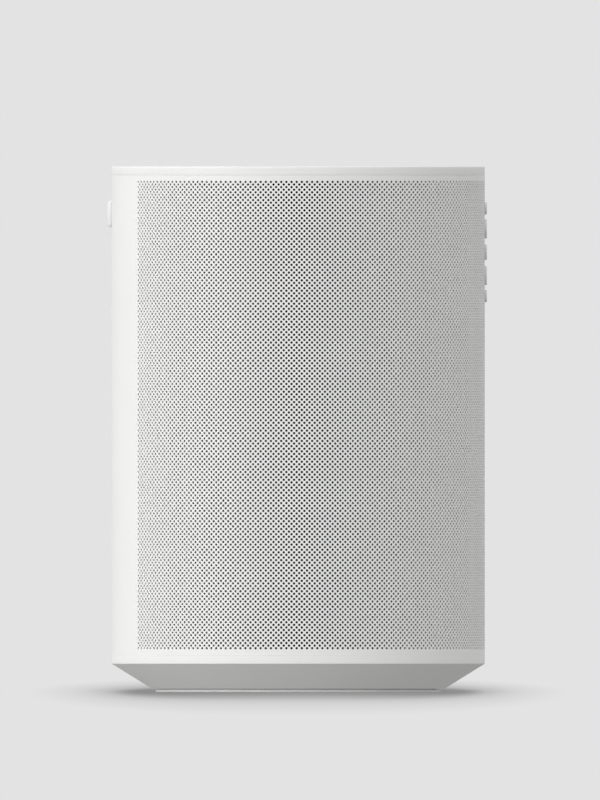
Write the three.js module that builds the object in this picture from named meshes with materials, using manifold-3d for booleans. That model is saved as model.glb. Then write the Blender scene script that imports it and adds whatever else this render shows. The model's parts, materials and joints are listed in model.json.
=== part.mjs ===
// Smart speaker: an upright oval body with a perforated sleeve, five side buttons and a slide switch.
// Millimetres, +Z up. The origin is the centre of the foot's underside. +X is the side with the buttons.
import * as THREE from "three";
import { mergeVertices } from "three/addons/utils/BufferGeometryUtils.js";
import Module from "manifold-3d";

const wasm = await Module();
wasm.setup();

// Overall size and outline.
const bodyWidth = 120;
const bodyDepth = 114.8;
const bodyHeight = 169.1;
const outlinePower = 2.08;
const fit = 0.3;

// Facets round the oval, round a driver and round a small pin.
const ovalSegments = 60;
const roundSegments = 24;
const smallSegments = 12;

// Foot and base.
const footRadius = 45.9;
const footHeight = 0.6;
const footNeckInset = 1.6;
const footNeckHeight = 1.3;
const grooveHeight = 0.4;
const baseToeRadius = 47;
const coneHeight = 8.1;
const bandHeight = 2.4;
const baseWall = 2.2;
const spigotHeight = 1.7;
const spigotWall = 1.5;

// Sleeve, cloth and lid.
const sleeveThickness = 0.8;
const clothThickness = 0.5;
const clothMargin = 0.2;
const clothOpeningHalfAngle = 27;
const lidBand = 2.8;
const lidThickness = 2.5;
const lidEdgeRadius = 0.8;
const lidSkirtDepth = 6;
const lidSkirtWall = 2;
const micHoleRadius = 0.6;
const micCircleRadius = 40;
const lightRadius = 1.3;
const lightPlaceX = 28;

// Loudspeaker box.
const boxWall = 2.5;
const boxDepth = 48;
const boxFrontSetback = 25;
const boxFloorGap = 2.3;
const baffleThickness = 3.5;
const gasketThickness = 0.9;
const driverMargin = 2.2;
const baseScrewRows = [0.16, 0.86];
const baseScrewOffsetY = 26;
const screwBossRadius = 4;
const baseScrewHeadRadius = 2.8;
const baseScrewShankRadius = 1.35;

// Woofer, measured along its own axis from the front face of the baffle.
const wooferRadius = 38;
const flangeWidth = 4;
const flangeThickness = 2.5;
const surroundWidth = 8.5;
const basketDepth = 15.8;
const basketWindows = 6;
const coneDepth = 9;
const coilRadius = 12;
const coilLength = 16;
const surroundRoll = 3;
const surroundThickness = 0.6;
const topPlateThickness = 4;
const magnetThickness = 12;
const poleRadius = 11.2;
const poleVentRadius = 4;
const backPlateThickness = 4;
const driverScrewRadius = 1.1;
const driverScrewHead = 1.8;
const driverScrewLength = 5;

// Tweeter.
const tweeterHeight = 25;
const tweeterWidth = 36;
const tweeterPlateThickness = 2;
const domeRadius = 7.5;
const tweeterCupRadius = 10;
const tweeterCupDepth = 9;

// Upper frame and electronics.
const frameFloor = 2;
const frameWall = 2;
const standoffHeight = 4.2;
const boardThickness = 1.6;
const mainBoardLength = 80;
const mainBoardWidth = 64;
const micBoardRadius = 50;
const micBoardThickness = 1.2;
const micBoardDrop = 1.3;

// Buttons: diameter and depth of the centre below the top of the body.
const buttonColumn = [
  { name: "button_mute", diameter: 4.1, below: 13.5 },
  { name: "button_volume_up", diameter: 6.3, below: 20.1 },
  { name: "button_play", diameter: 5.05, below: 27.6 },
  { name: "button_volume_down", diameter: 6.3, below: 35.1 },
  { name: "button_source", diameter: 4.1, below: 41.7 },
];
const buttonSegments = 18;
const buttonProud = 0.7;
const buttonLip = 0.5;
const buttonLipThickness = 0.8;
const buttonTravel = 0.4;
const carrierWidth = 14;
const carrierThickness = 4.1;
const matThickness = 0.6;
const matDomeHeight = 0.6;

// Slide switch.
const knobLength = 8.5;
const knobWidth = 3.2;
const knobProud = 1.35;
const knobTopBelow = 11;
const knobTravel = 2.5;
const knobFlange = 1.1;
const switchDepth = 5;
const switchBoardWidth = 14;

// Power inlet.
const jackHeight = 24.4;
const jackNoseRadius = 4.6;
const jackBoreRadius = 2.8;
const jackPinRadius = 1;
const jackBodySize = 10.4;
const jackLength = 15;

// Levels and radii that follow from the sizes above.
const halfWidth = bodyWidth / 2;
const ovalRatio = bodyDepth / bodyWidth;
const baseBottom = footHeight + grooveHeight;
const bandBottom = baseBottom + coneHeight;
const bandTop = bandBottom + bandHeight;
const sleeveBottom = bandTop + fit;
const lidBottom = bodyHeight - lidBand;
const sleeveTop = lidBottom - fit;
const sleeveInner = halfWidth - sleeveThickness;
const clothOuter = sleeveInner - fit;
const clothInner = clothOuter - clothThickness;
const insideRadius = clothInner - fit;
const boxBottom = bandTop + boxFloorGap;
const baffleFront = insideRadius - boxFrontSetback;
const baffleBack = baffleFront - baffleThickness;
const tubFront = baffleBack - fit - gasketThickness - fit;
const tubBack = tubFront - boxDepth;
const wooferSeatRadius = wooferRadius - flangeWidth;
const wooferHoleRadius = wooferSeatRadius - 0.4;
const coneRadius = wooferSeatRadius - surroundWidth;
const magnetRadius = wooferHoleRadius - 1.6;
const topPlateRadius = magnetRadius - 2;
const basketFloorRadius = topPlateRadius - 5.5;
const wooferPlace = boxBottom + driverMargin + wooferRadius;
const tweeterPlace = wooferPlace + wooferRadius + 1.5 + tweeterHeight / 2;
const boxTop = tweeterPlace + tweeterHeight / 2 + 1;
const frameBottom = boxTop + fit;
const frameFloorTop = frameBottom + frameFloor;
const skirtBottom = lidBottom - lidSkirtDepth;
const frameTop = skirtBottom - fit;
const mainBoardBottom = frameFloorTop + standoffHeight + fit;
const mainBoardTop = mainBoardBottom + boardThickness;
const lidUnderside = bodyHeight - lidThickness;
const micBoardTop = lidUnderside - micBoardDrop - fit;
const micBoardBottom = micBoardTop - micBoardThickness;
const footNeckTop = footHeight + footNeckHeight;
const baseRecess = footNeckTop + fit;
const baseFloorTop = baseRecess + baseWall;
const carrierFront = insideRadius - 0.5;
const carrierBack = carrierFront - carrierThickness;
const lipFront = carrierBack - fit;
const lipBack = lipFront - buttonLipThickness;
const matFront = lipBack - buttonTravel - 0.2;
const matBack = matFront - matDomeHeight - matThickness;
const buttonBoardFront = matBack - fit;
const columnTop = bodyHeight - buttonColumn[0].below + 4.4;
const columnBottom = bodyHeight - buttonColumn.at(-1).below - 4.4;
const knobTop = bodyHeight - knobTopBelow;
const knobBottom = knobTop - knobLength;

// Colours and surface finishes.
const paint = {
  whitePaint: new THREE.MeshStandardMaterial({ color: 0xf1f1ef, roughness: 0.5, metalness: 0.1 }),
  whitePlastic: new THREE.MeshStandardMaterial({ color: 0xf0f0ee, roughness: 0.55 }),
  greyRubber: new THREE.MeshStandardMaterial({ color: 0xc9c9c7, roughness: 0.85 }),
  blackCloth: new THREE.MeshStandardMaterial({ color: 0x0c0c0d, roughness: 0.95 }),
  blackPlastic: new THREE.MeshStandardMaterial({ color: 0x1c1c1e, roughness: 0.6 }),
  greenBoard: new THREE.MeshStandardMaterial({ color: 0x1f5a3a, roughness: 0.5 }),
  steel: new THREE.MeshStandardMaterial({ color: 0xb4b7ba, roughness: 0.35, metalness: 1 }),
  aluminium: new THREE.MeshStandardMaterial({ color: 0xa9acb0, roughness: 0.4, metalness: 1 }),
  ferrite: new THREE.MeshStandardMaterial({ color: 0x3a3a3c, roughness: 0.7 }),
  blackRubber: new THREE.MeshStandardMaterial({ color: 0x161617, roughness: 0.9 }),
  paper: new THREE.MeshStandardMaterial({ color: 0x2a2a2b, roughness: 0.9 }),
  copper: new THREE.MeshStandardMaterial({ color: 0xb56a3c, roughness: 0.4, metalness: 1 }),
  amberCloth: new THREE.MeshStandardMaterial({ color: 0xc79a4a, roughness: 0.9 }),
  silk: new THREE.MeshStandardMaterial({ color: 0x202024, roughness: 0.8 }),
  clear: new THREE.MeshStandardMaterial({ color: 0xe8eef2, roughness: 0.15 }),
};

const speaker = new THREE.Group();

function addPiece(name, geometry, finish, parent = speaker) {
  geometry.computeVertexNormals();
  const mesh = new THREE.Mesh(geometry, finish.clone());
  mesh.name = name;
  parent.add(mesh);
  return mesh;
}

// Positions only, shared corners merged and collapsed triangles dropped.
function cleaned(geometry) {
  const bare = new THREE.BufferGeometry();
  bare.setAttribute("position", geometry.getAttribute("position"));
  if (geometry.index) {
    bare.setIndex(geometry.index);
  }
  const merged = mergeVertices(bare, 1e-4);
  const corners = merged.index.array;
  const kept = [];
  for (let i = 0; i < corners.length; i += 3) {
    const [a, b, c] = [corners[i], corners[i + 1], corners[i + 2]];
    if (a !== b && b !== c && c !== a) {
      kept.push(a, b, c);
    }
  }
  merged.setIndex(kept);
  return merged;
}

function toSolid(geometry) {
  const bare = cleaned(geometry);
  const vertProperties = new Float32Array(bare.getAttribute("position").array);
  const triVerts = new Uint32Array(bare.index.array);
  return new wasm.Manifold(new wasm.Mesh({ numProp: 3, vertProperties, triVerts }));
}

function toGeometry(solid) {
  const mesh = solid.getMesh();
  const geometry = new THREE.BufferGeometry();
  geometry.setAttribute("position", new THREE.BufferAttribute(mesh.vertProperties, 3));
  geometry.setIndex(new THREE.BufferAttribute(mesh.triVerts, 1));
  return geometry;
}

function cut(geometry, ...tools) {
  let solid = toSolid(geometry);
  for (const tool of tools) {
    solid = solid.subtract(toSolid(tool));
  }
  return toGeometry(solid);
}

function join(geometry, ...others) {
  let solid = toSolid(geometry);
  for (const other of others) {
    solid = solid.add(toSolid(other));
  }
  return toGeometry(solid);
}

function common(geometry, other) {
  return toGeometry(toSolid(geometry).intersect(toSolid(other)));
}

// A round piece about Z from [radius, height] corners that start and end on the axis or form a ring.
function turned(profile, segments = roundSegments) {
  const onAxis = profile[0][0] === 0 && profile.at(-1)[0] === 0;
  const points = profile.map(([radius, height]) => new THREE.Vector2(radius, height));
  if (THREE.ShapeUtils.area(points) < 0) {
    points.reverse();
  }
  if (!onAxis) {
    points.push(points[0].clone());
  }
  const geometry = new THREE.LatheGeometry(points, segments);
  geometry.rotateX(Math.PI / 2);
  return cleaned(geometry);
}

// Reach of the body's oval in a direction, for a half width of 1.
function ovalReach(direction) {
  const alongX = Math.abs(Math.cos(direction)) ** outlinePower;
  const alongY = Math.abs(Math.sin(direction) / ovalRatio) ** outlinePower;
  return (alongX + alongY) ** (-1 / outlinePower);
}

// The same as turned, with every circle drawn out to the body's oval.
function ovalTurned(profile, segments = ovalSegments) {
  const geometry = turned(profile, segments);
  const place = geometry.getAttribute("position");
  for (let i = 0; i < place.count; i++) {
    const reach = ovalReach(Math.atan2(place.getY(i), place.getX(i)));
    place.setX(i, place.getX(i) * reach);
    place.setY(i, place.getY(i) * reach);
  }
  return geometry;
}

function block(lowX, highX, lowY, highY, lowZ, highZ) {
  const geometry = new THREE.BoxGeometry(highX - lowX, highY - lowY, highZ - lowZ);
  geometry.translate((lowX + highX) / 2, (lowY + highY) / 2, (lowZ + highZ) / 2);
  return geometry;
}

function rod(radius, low, high, x = 0, y = 0, segments = smallSegments) {
  const geometry = new THREE.CylinderGeometry(radius, radius, high - low, segments);
  geometry.rotateX(Math.PI / 2);
  geometry.translate(x, y, (low + high) / 2);
  return geometry;
}

function rodAlongX(radius, low, high, y, z, segments = smallSegments) {
  const geometry = new THREE.CylinderGeometry(radius, radius, high - low, segments);
  geometry.rotateZ(Math.PI / 2);
  geometry.translate((low + high) / 2, y, z);
  return geometry;
}

// Upright prism with the body's oval outline.
function ovalPrism(radius, low, high) {
  return ovalTurned([[0, low], [radius, low], [radius, high], [0, high]]);
}

// Points along an arc in a profile, from one angle to another in degrees.
function arc(centreRadius, centreHeight, radius, from, to, steps) {
  const points = [];
  for (let i = 0; i <= steps; i++) {
    const angle = THREE.MathUtils.degToRad(from + ((to - from) * i) / steps);
    points.push([centreRadius + radius * Math.cos(angle), centreHeight + radius * Math.sin(angle)]);
  }
  return points;
}

// Pan-head screw along Z: the head stands on headSeat and the shank goes down from it.
function screwAlongZ(headRadius, headHeight, shankRadius, shankLength, headSeat) {
  const slotHalf = 0.35;
  const body = turned([
    [0, headSeat - shankLength],
    [shankRadius, headSeat - shankLength],
    [shankRadius, headSeat],
    [headRadius, headSeat],
    [headRadius, headSeat + headHeight * 0.6],
    [headRadius * 0.75, headSeat + headHeight],
    [0, headSeat + headHeight],
  ], 10);
  const slotLow = headSeat + headHeight * 0.5;
  const slotHigh = headSeat + headHeight * 2;
  const across = headRadius * 0.6;
  return cut(body, block(-across, across, -slotHalf, slotHalf, slotLow, slotHigh));
}

function baseScrewPlaces() {
  const places = [];
  for (const share of baseScrewRows) {
    for (const side of [-1, 1]) {
      places.push([tubBack + boxDepth * share, side * baseScrewOffsetY]);
    }
  }
  return places;
}

// Foot: a thin rubber disc with a narrower neck that leaves a shadow groove under the base.
function buildFoot() {
  const neck = footRadius - footNeckInset;
  const bevel = 0.15;
  addPiece("foot_pad", ovalTurned([
    [0, 0],
    [footRadius - bevel, 0],
    [footRadius, bevel],
    [footRadius, footHeight],
    [neck, footHeight],
    [neck, footNeckTop],
    [0, footNeckTop],
  ]), paint.greyRubber);
}

// Base: outer band and cone, floor with four screw bosses and two posts under the power board.
function buildBase() {
  const recessRadius = footRadius - footNeckInset + fit;
  const spigotOuter = sleeveInner - fit;
  const spigotInner = spigotOuter - spigotWall;
  let shell = ovalTurned([
    [0, baseRecess],
    [recessRadius, baseRecess],
    [recessRadius, baseBottom],
    [baseToeRadius, baseBottom],
    [halfWidth, bandBottom],
    [halfWidth, bandTop],
    [spigotOuter, bandTop],
    [spigotOuter, bandTop + spigotHeight],
    [spigotInner, bandTop + spigotHeight],
    [spigotInner, bandBottom + baseWall * 0.6],
    [recessRadius + 3, baseFloorTop],
    [0, baseFloorTop],
  ]);
  const bossTop = boxBottom - screwBossRadius - fit;
  const headRoom = baseScrewHeadRadius + fit;
  const holeRadius = baseScrewShankRadius + fit;
  const seat = baseFloorTop + 1.5;
  for (const [x, y] of baseScrewPlaces()) {
    shell = join(shell, rod(screwBossRadius + 1, baseRecess + 0.5, bossTop, x, y));
    shell = cut(shell, rod(headRoom, baseBottom - 1, seat, x, y), rod(holeRadius, seat - 1, bossTop + 1, x, y));
  }
  for (const side of [-1, 1]) {
    const [x, y] = powerPostPlace(side);
    shell = join(shell, rod(2.5, baseRecess + 0.5, powerBoardBottom() - fit, x, y));
  }
  addPiece("base_shell", shell, paint.whitePlastic);

  baseScrewPlaces().forEach(([x, y], index) => {
    const length = boxBottom - seat - fit - 1;
    const screw = screwAlongZ(baseScrewHeadRadius, 1.8, baseScrewShankRadius, length, 0);
    screw.rotateX(Math.PI);
    screw.translate(x, y, seat - fit);
    addPiece(`base_screw_${index + 1}`, screw, paint.steel);
  });
}

function powerBoardBottom() {
  return jackHeight - jackBodySize / 2 - fit - boardThickness;
}

function powerPostPlace(side) {
  return [-insideRadius + 16, side * 9];
}

// Sleeve: one sheet rolled to the oval, with openings for the buttons, the switch knob and the jack.
function buildSleeve() {
  const outside = halfWidth + 5;
  const inside = sleeveInner - 5;
  const tools = buttonColumn.map(({ diameter, below }) =>
    rodAlongX(diameter / 2 + fit, inside, outside, 0, bodyHeight - below, buttonSegments));
  tools.push(block(
    -outside, -inside,
    -knobWidth / 2 - fit, knobWidth / 2 + fit,
    knobBottom - knobTravel - fit, knobTop + fit,
  ));
  tools.push(rodAlongX(jackNoseRadius + fit, -outside, -inside, 0, jackHeight, 16));
  const sheet = ovalTurned([
    [sleeveInner, sleeveBottom],
    [halfWidth, sleeveBottom],
    [halfWidth, sleeveTop],
    [sleeveInner, sleeveTop],
  ]);
  addPiece("grille", cut(sheet, ...tools), paint.whitePaint);
}

// Cloth: a thin black layer inside the sleeve, open at the back and round the buttons.
function buildCloth() {
  const clothBottom = bandTop + spigotHeight + fit;
  const clothTop = lidBottom - fit - clothMargin;
  const sheet = ovalTurned([
    [clothInner, clothBottom],
    [clothOuter, clothBottom],
    [clothOuter, clothTop],
    [clothInner, clothTop],
  ]);
  const reach = bodyWidth;
  const spread = reach * Math.tan(THREE.MathUtils.degToRad(clothOpeningHalfAngle));
  const wedge = new THREE.Shape();
  wedge.moveTo(0, 0);
  wedge.lineTo(-reach, spread);
  wedge.lineTo(-reach, -spread);
  wedge.closePath();
  const opening = new THREE.ExtrudeGeometry(wedge, { depth: bodyHeight, bevelEnabled: false });
  const holes = buttonColumn.map(({ diameter, below }) =>
    rodAlongX(diameter / 2 + fit, clothInner - 5, halfWidth, 0, bodyHeight - below, buttonSegments));
  addPiece("acoustic_liner", cut(sheet, opening, ...holes), paint.blackCloth);
}

// Lid: a flat disc with a rounded rim and a skirt that drops inside the cloth.
function buildLid() {
  const skirtInner = insideRadius - lidSkirtWall;
  let lid = ovalTurned([
    [0, lidUnderside],
    [skirtInner, lidUnderside],
    [skirtInner, skirtBottom],
    [insideRadius, skirtBottom],
    [insideRadius, lidBottom],
    [halfWidth, lidBottom],
    ...arc(halfWidth - lidEdgeRadius, bodyHeight - lidEdgeRadius, lidEdgeRadius, 0, 90, 3),
    [0, bodyHeight],
  ]);
  for (let i = 0; i < 3; i++) {
    const angle = Math.PI / 3 + (i * 2 * Math.PI) / 3;
    const x = (micBoardRadius - 4) * Math.cos(angle);
    const y = (micBoardRadius - 4) * Math.sin(angle);
    lid = join(lid, rod(2.5, micBoardTop + fit, lidUnderside + 0.5, x, y));
  }
  const holes = [rod(lightRadius + fit, lidUnderside - 1, bodyHeight + 1, lightPlaceX, 0)];
  for (const [x, y] of micPlaces()) {
    holes.push(rod(micHoleRadius, lidUnderside - 1, bodyHeight + 1, x, y, 12));
  }
  addPiece("top_cap", cut(lid, ...holes), paint.whitePlastic);
}

function micPlaces() {
  return [45, 135, 225, 315].map((degrees) => {
    const angle = THREE.MathUtils.degToRad(degrees);
    return [micCircleRadius * Math.cos(angle), micCircleRadius * Math.sin(angle)];
  });
}

// Microphone board under the lid, with four capsules on its underside, and the light pipe above it.
function buildMicBoard() {
  const centreHole = 12;
  const can = { halfLength: 2, halfWidth: 1.5, height: 1.1 };
  let board = turned([
    [centreHole, micBoardBottom],
    [micBoardRadius, micBoardBottom],
    [micBoardRadius, micBoardTop],
    [centreHole, micBoardTop],
  ], 40);
  for (const [x, y] of micPlaces()) {
    board = join(board, block(
      x - can.halfLength, x + can.halfLength,
      y - can.halfWidth, y + can.halfWidth,
      micBoardBottom - can.height, micBoardBottom + 0.2,
    ));
  }
  addPiece("mic_board", board, paint.greenBoard);

  const pipeBottom = micBoardTop + fit;
  addPiece("light_pipe", turned([
    [0, pipeBottom],
    [lightRadius + 1, pipeBottom],
    [lightRadius + 1, pipeBottom + 0.8],
    [lightRadius, pipeBottom + 0.8],
    [lightRadius, bodyHeight],
    [0, bodyHeight],
  ], smallSegments).translate(lightPlaceX, 0, 0), paint.clear);
}

// Loudspeaker box: a tub that follows the sleeve, a gasket and a flat baffle.
function buildBox() {
  const reach = bodyWidth;
  const outer = common(
    ovalPrism(insideRadius, boxBottom, boxTop),
    block(tubBack, tubFront, -reach, reach, 0, bodyHeight),
  );
  const hollow = common(
    ovalPrism(insideRadius - boxWall, boxBottom + boxWall, boxTop - boxWall),
    block(tubBack + boxWall, reach, -reach, reach, 0, bodyHeight),
  );
  let tub = cut(outer, hollow);
  const bossBottom = boxBottom - screwBossRadius;
  for (const [x, y] of baseScrewPlaces()) {
    tub = join(tub, rod(screwBossRadius, bossBottom, boxBottom + 1, x, y));
    tub = cut(tub, rod(baseScrewShankRadius + fit, bossBottom - 1, boxBottom - 0.5, x, y));
  }
  addPiece("enclosure_tub", tub, paint.blackPlastic);

  const seal = common(
    cut(
      ovalPrism(insideRadius, boxBottom, boxTop),
      ovalPrism(insideRadius - boxWall, boxBottom + boxWall, boxTop - boxWall),
    ),
    block(tubFront + fit, tubFront + fit + gasketThickness, -reach, reach, 0, bodyHeight),
  );
  addPiece("enclosure_gasket", seal, paint.blackRubber);

  const panel = common(
    ovalPrism(insideRadius, boxBottom, boxTop),
    block(baffleBack, baffleFront, -reach, reach, 0, bodyHeight),
  );
  const holes = [
    rodAlongX(wooferHoleRadius, 0, reach, 0, wooferPlace, roundSegments),
    rodAlongX(tweeterCupRadius + fit, 0, reach, 0, tweeterPlace, roundSegments),
  ];
  const pilot = driverScrewRadius + fit;
  for (const [y, z] of wooferScrewPlaces()) {
    holes.push(rodAlongX(pilot, 0, reach, y, wooferPlace + z, 12));
  }
  for (const [y, z] of tweeterScrewPlaces()) {
    holes.push(rodAlongX(pilot, 0, reach, y, tweeterPlace + z, 12));
  }
  addPiece("baffle", cut(panel, ...holes), paint.blackPlastic);
}

function wooferScrewPlaces() {
  const ring = (wooferRadius + wooferSeatRadius) / 2;
  return [45, 135, 225, 315].map((degrees) => {
    const angle = THREE.MathUtils.degToRad(degrees);
    return [ring * Math.cos(angle), ring * Math.sin(angle)];
  });
}

function tweeterScrewPlaces() {
  const across = tweeterWidth / 2 - driverScrewHead - 1;
  return [[-across, 0], [across, 0]];
}

// Woofer, built about its own Z axis with the front face of the baffle at 0, then turned to face +X.
function buildWoofer() {
  const woofer = new THREE.Group();
  woofer.position.set(baffleFront, 0, wooferPlace);
  woofer.rotation.y = Math.PI / 2;
  speaker.add(woofer);

  const flangeFront = fit + flangeThickness;
  const seatLevel = flangeFront - 1.5;
  const basketFloor = fit - basketDepth;
  const spiderSeat = -9;
  const windowTilt = 0.5;
  const basket = turned([
    [wooferRadius, fit],
    [wooferRadius, flangeFront],
    [wooferSeatRadius, flangeFront],
    [wooferSeatRadius, seatLevel],
    [wooferSeatRadius - 2.5, seatLevel],
    [basketFloorRadius - 2, basketFloor + 2],
    [coilRadius + 1, basketFloor + 2],
    [coilRadius + 1, basketFloor],
    [basketFloorRadius, basketFloor],
    [wooferHoleRadius - fit, fit],
  ]);
  const openings = [];
  for (let i = 0; i < basketWindows; i++) {
    const slot = block(basketFloorRadius - 4, wooferRadius, -7, 7, basketFloor + 4.5, -baffleThickness);
    slot.rotateZ(((i + windowTilt) * 2 * Math.PI) / basketWindows);
    openings.push(slot);
  }
  for (const [y, z] of wooferScrewPlaces()) {
    openings.push(rod(driverScrewRadius + fit, -1, flangeFront + 1, -z, y, 12));
  }
  addPiece("woofer_frame", cut(basket, ...openings), paint.steel, woofer);

  const rollRadius = (wooferSeatRadius + coneRadius) / 2;
  const rollLevel = seatLevel + fit + surroundThickness;
  const outerRoll = surroundRoll + surroundThickness / 2;
  const innerRoll = surroundRoll - surroundThickness / 2;
  addPiece("woofer_surround", turned([
    [wooferSeatRadius - fit, seatLevel + fit],
    [wooferSeatRadius - fit, rollLevel],
    ...arc(rollRadius, rollLevel, outerRoll, 0, 180, 5),
    [coneRadius - 1.5, rollLevel],
    [coneRadius - 1.5, seatLevel + fit],
    ...arc(rollRadius, seatLevel + fit, innerRoll, 180, 0, 5),
  ]), paint.blackRubber, woofer);

  const rimLevel = seatLevel;
  const neckLevel = rimLevel - coneDepth;
  const coneWall = 0.9;
  const coneNeckInner = coilRadius - 0.6;
  addPiece("woofer_cone", turned([
    [coilRadius + 0.6, neckLevel],
    [coneRadius, rimLevel - coneWall],
    [coneRadius, rimLevel],
    [coneRadius - 1.6, rimLevel],
    [coneNeckInner, neckLevel + coneWall],
    [coneNeckInner, neckLevel],
  ]), paint.paper, woofer);

  const capRadius = coilRadius + 1.2;
  const capWall = 0.6;
  const coneSlope = (coneDepth - coneWall) / (coneRadius - 1.6 - coneNeckInner);
  const capLevel = neckLevel + coneWall + (capRadius - coneNeckInner) * coneSlope + capWall + fit;
  const capBall = capRadius * 1.6;
  const capEdge = THREE.MathUtils.radToDeg(Math.acos(capRadius / capBall));
  const capCentre = capLevel - Math.sqrt(capBall ** 2 - capRadius ** 2);
  const capSteps = 4;
  const capOutside = arc(0, capCentre, capBall, capEdge, 90, capSteps);
  const capInside = arc(0, capCentre - capWall, capBall, 90, capEdge, capSteps);
  capOutside[capSteps][0] = 0;
  capInside[0][0] = 0;
  addPiece("woofer_dust_cap", turned([...capOutside, ...capInside]), paint.paper, woofer);

  addPiece("woofer_voice_coil", turned([
    [coilRadius - 0.1, neckLevel - fit],
    [coilRadius + 0.5, neckLevel - fit],
    [coilRadius + 0.5, neckLevel - coilLength],
    [coilRadius - 0.1, neckLevel - coilLength],
  ]), paint.copper, woofer);

  addPiece("woofer_spider", spiderRing(coilRadius + 0.8, spiderSeat), paint.amberCloth, woofer);

  const topPlateFront = basketFloor - fit;
  const topPlateBack = topPlateFront - topPlateThickness;
  const magnetFront = topPlateBack - fit;
  const magnetBack = magnetFront - magnetThickness;
  const backPlateFront = magnetBack - fit;
  const backPlateBack = backPlateFront - backPlateThickness;
  addPiece("woofer_top_plate", turned([
    [coilRadius + 1.2, topPlateBack],
    [topPlateRadius, topPlateBack],
    [topPlateRadius, topPlateFront],
    [coilRadius + 1.2, topPlateFront],
  ]), paint.steel, woofer);
  addPiece("woofer_magnet", turned([
    [coilRadius + 4, magnetBack],
    [magnetRadius, magnetBack],
    [magnetRadius, magnetFront],
    [coilRadius + 4, magnetFront],
  ]), paint.ferrite, woofer);
  addPiece("woofer_back_plate", turned([
    [poleVentRadius, backPlateBack],
    [topPlateRadius, backPlateBack],
    [topPlateRadius, backPlateFront],
    [poleRadius, backPlateFront],
    [poleRadius, topPlateFront],
    [poleVentRadius, topPlateFront],
  ]), paint.steel, woofer);

  wooferScrewPlaces().forEach(([y, z], index) => {
    const screw = screwAlongZ(driverScrewHead, 1.3, driverScrewRadius, driverScrewLength, flangeFront + fit);
    addPiece(`woofer_screw_${index + 1}`, screw.translate(-z, y, 0), paint.steel, woofer);
  });
}

// Corrugated ring that centres the voice coil.
function spiderRing(innerRadius, level) {
  const outerRadius = basketFloorRadius - 0.3;
  const waves = 2;
  const height = 0.7;
  const wall = 0.5;
  const steps = 8;
  const upper = [];
  const lower = [];
  for (let i = 0; i <= steps; i++) {
    const share = i / steps;
    const radius = innerRadius + (outerRadius - innerRadius) * share;
    const rise = height * Math.sin(share * waves * 2 * Math.PI);
    upper.push([radius, level + rise + wall / 2]);
    lower.unshift([radius, level + rise - wall / 2]);
  }
  return turned([...upper, ...lower]);
}

// Tweeter, built in the same way as the woofer.
function buildTweeter() {
  const tweeter = new THREE.Group();
  tweeter.position.set(baffleFront, 0, tweeterPlace);
  tweeter.rotation.y = Math.PI / 2;
  speaker.add(tweeter);

  const plateFront = fit + tweeterPlateThickness;
  const mouth = domeRadius + 1;
  const bevel = 1.2;
  const plate = block(
    -tweeterHeight / 2, tweeterHeight / 2,
    -tweeterWidth / 2, tweeterWidth / 2,
    fit, plateFront,
  );
  const horn = turned([
    [0, fit - 1],
    [mouth, fit - 1],
    [mouth, plateFront - bevel],
    [mouth + bevel * 1.5, plateFront + 0.1],
    [0, plateFront + 0.1],
  ]);
  const holes = tweeterScrewPlaces().map(([y, z]) => rod(driverScrewRadius + fit, -1, plateFront + 1, -z, y, 12));
  addPiece("tweeter_plate", cut(plate, horn, ...holes), paint.blackPlastic, tweeter);

  const ball = domeRadius * 1.35;
  const edge = THREE.MathUtils.radToDeg(Math.acos(domeRadius / ball));
  const centre = 0.6 - Math.sqrt(ball ** 2 - domeRadius ** 2);
  const wall = 0.4;
  const domeSteps = 4;
  const outside = arc(0, centre, ball, edge, 90, domeSteps);
  const inside = arc(0, centre - wall, ball, 90, edge, domeSteps);
  outside[domeSteps][0] = 0;
  inside[0][0] = 0;
  const coilInner = domeRadius - 0.7;
  const dome = join(
    turned([...outside, ...inside], 24),
    turned([
      [coilInner, -tweeterCupDepth / 2],
      [domeRadius - 0.2, -tweeterCupDepth / 2],
      [domeRadius - 0.2, 0.4],
      [coilInner, 0.4],
    ], 24),
  );
  addPiece("tweeter_dome", dome, paint.silk, tweeter);

  const grooveBottom = -tweeterCupDepth / 2 - 1;
  addPiece("tweeter_magnet", turned([
    [0, -tweeterCupDepth],
    [tweeterCupRadius, -tweeterCupDepth],
    [tweeterCupRadius, 0],
    [domeRadius + 0.4, 0],
    [domeRadius + 0.4, grooveBottom],
    [coilInner - 0.5, grooveBottom],
    [coilInner - 0.5, -0.8],
    [0, -0.8],
  ], 24), paint.steel, tweeter);

  tweeterScrewPlaces().forEach(([y, z], index) => {
    const screw = screwAlongZ(driverScrewHead, 1.3, driverScrewRadius, driverScrewLength, plateFront + fit);
    addPiece(`tweeter_screw_${index + 1}`, screw.translate(-z, y, 0), paint.steel, tweeter);
  });
}

// Upper frame: a tray with a wall, open in front for the buttons and behind for the switch.
function buildFrame() {
  const wallInner = insideRadius - frameWall;
  const reach = halfWidth + 5;
  const frontHalf = carrierWidth / 2 + 2 * fit;
  const rearHalf = 4;
  let tray = ovalTurned([
    [0, frameBottom],
    [insideRadius, frameBottom],
    [insideRadius, frameTop],
    [wallInner, frameTop],
    [wallInner, frameFloorTop],
    [0, frameFloorTop],
  ]);
  tray = cut(
    tray,
    block(buttonBoardFront - 6, reach, -frontHalf, frontHalf, frameBottom - 1, frameTop + 1),
    block(-reach, -wallInner + 8, -rearHalf, rearHalf, knobBottom - knobTravel - 5, frameTop + 1),
  );
  for (const x of [-1, 1]) {
    for (const y of [-1, 1]) {
      const postX = x * (mainBoardLength / 2 - 5);
      const postY = y * (mainBoardWidth / 2 - 5);
      tray = join(tray, rod(3, frameBottom + 0.5, mainBoardBottom - fit, postX, postY));
    }
  }
  addPiece("upper_frame", tray, paint.blackPlastic);
}

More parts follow.
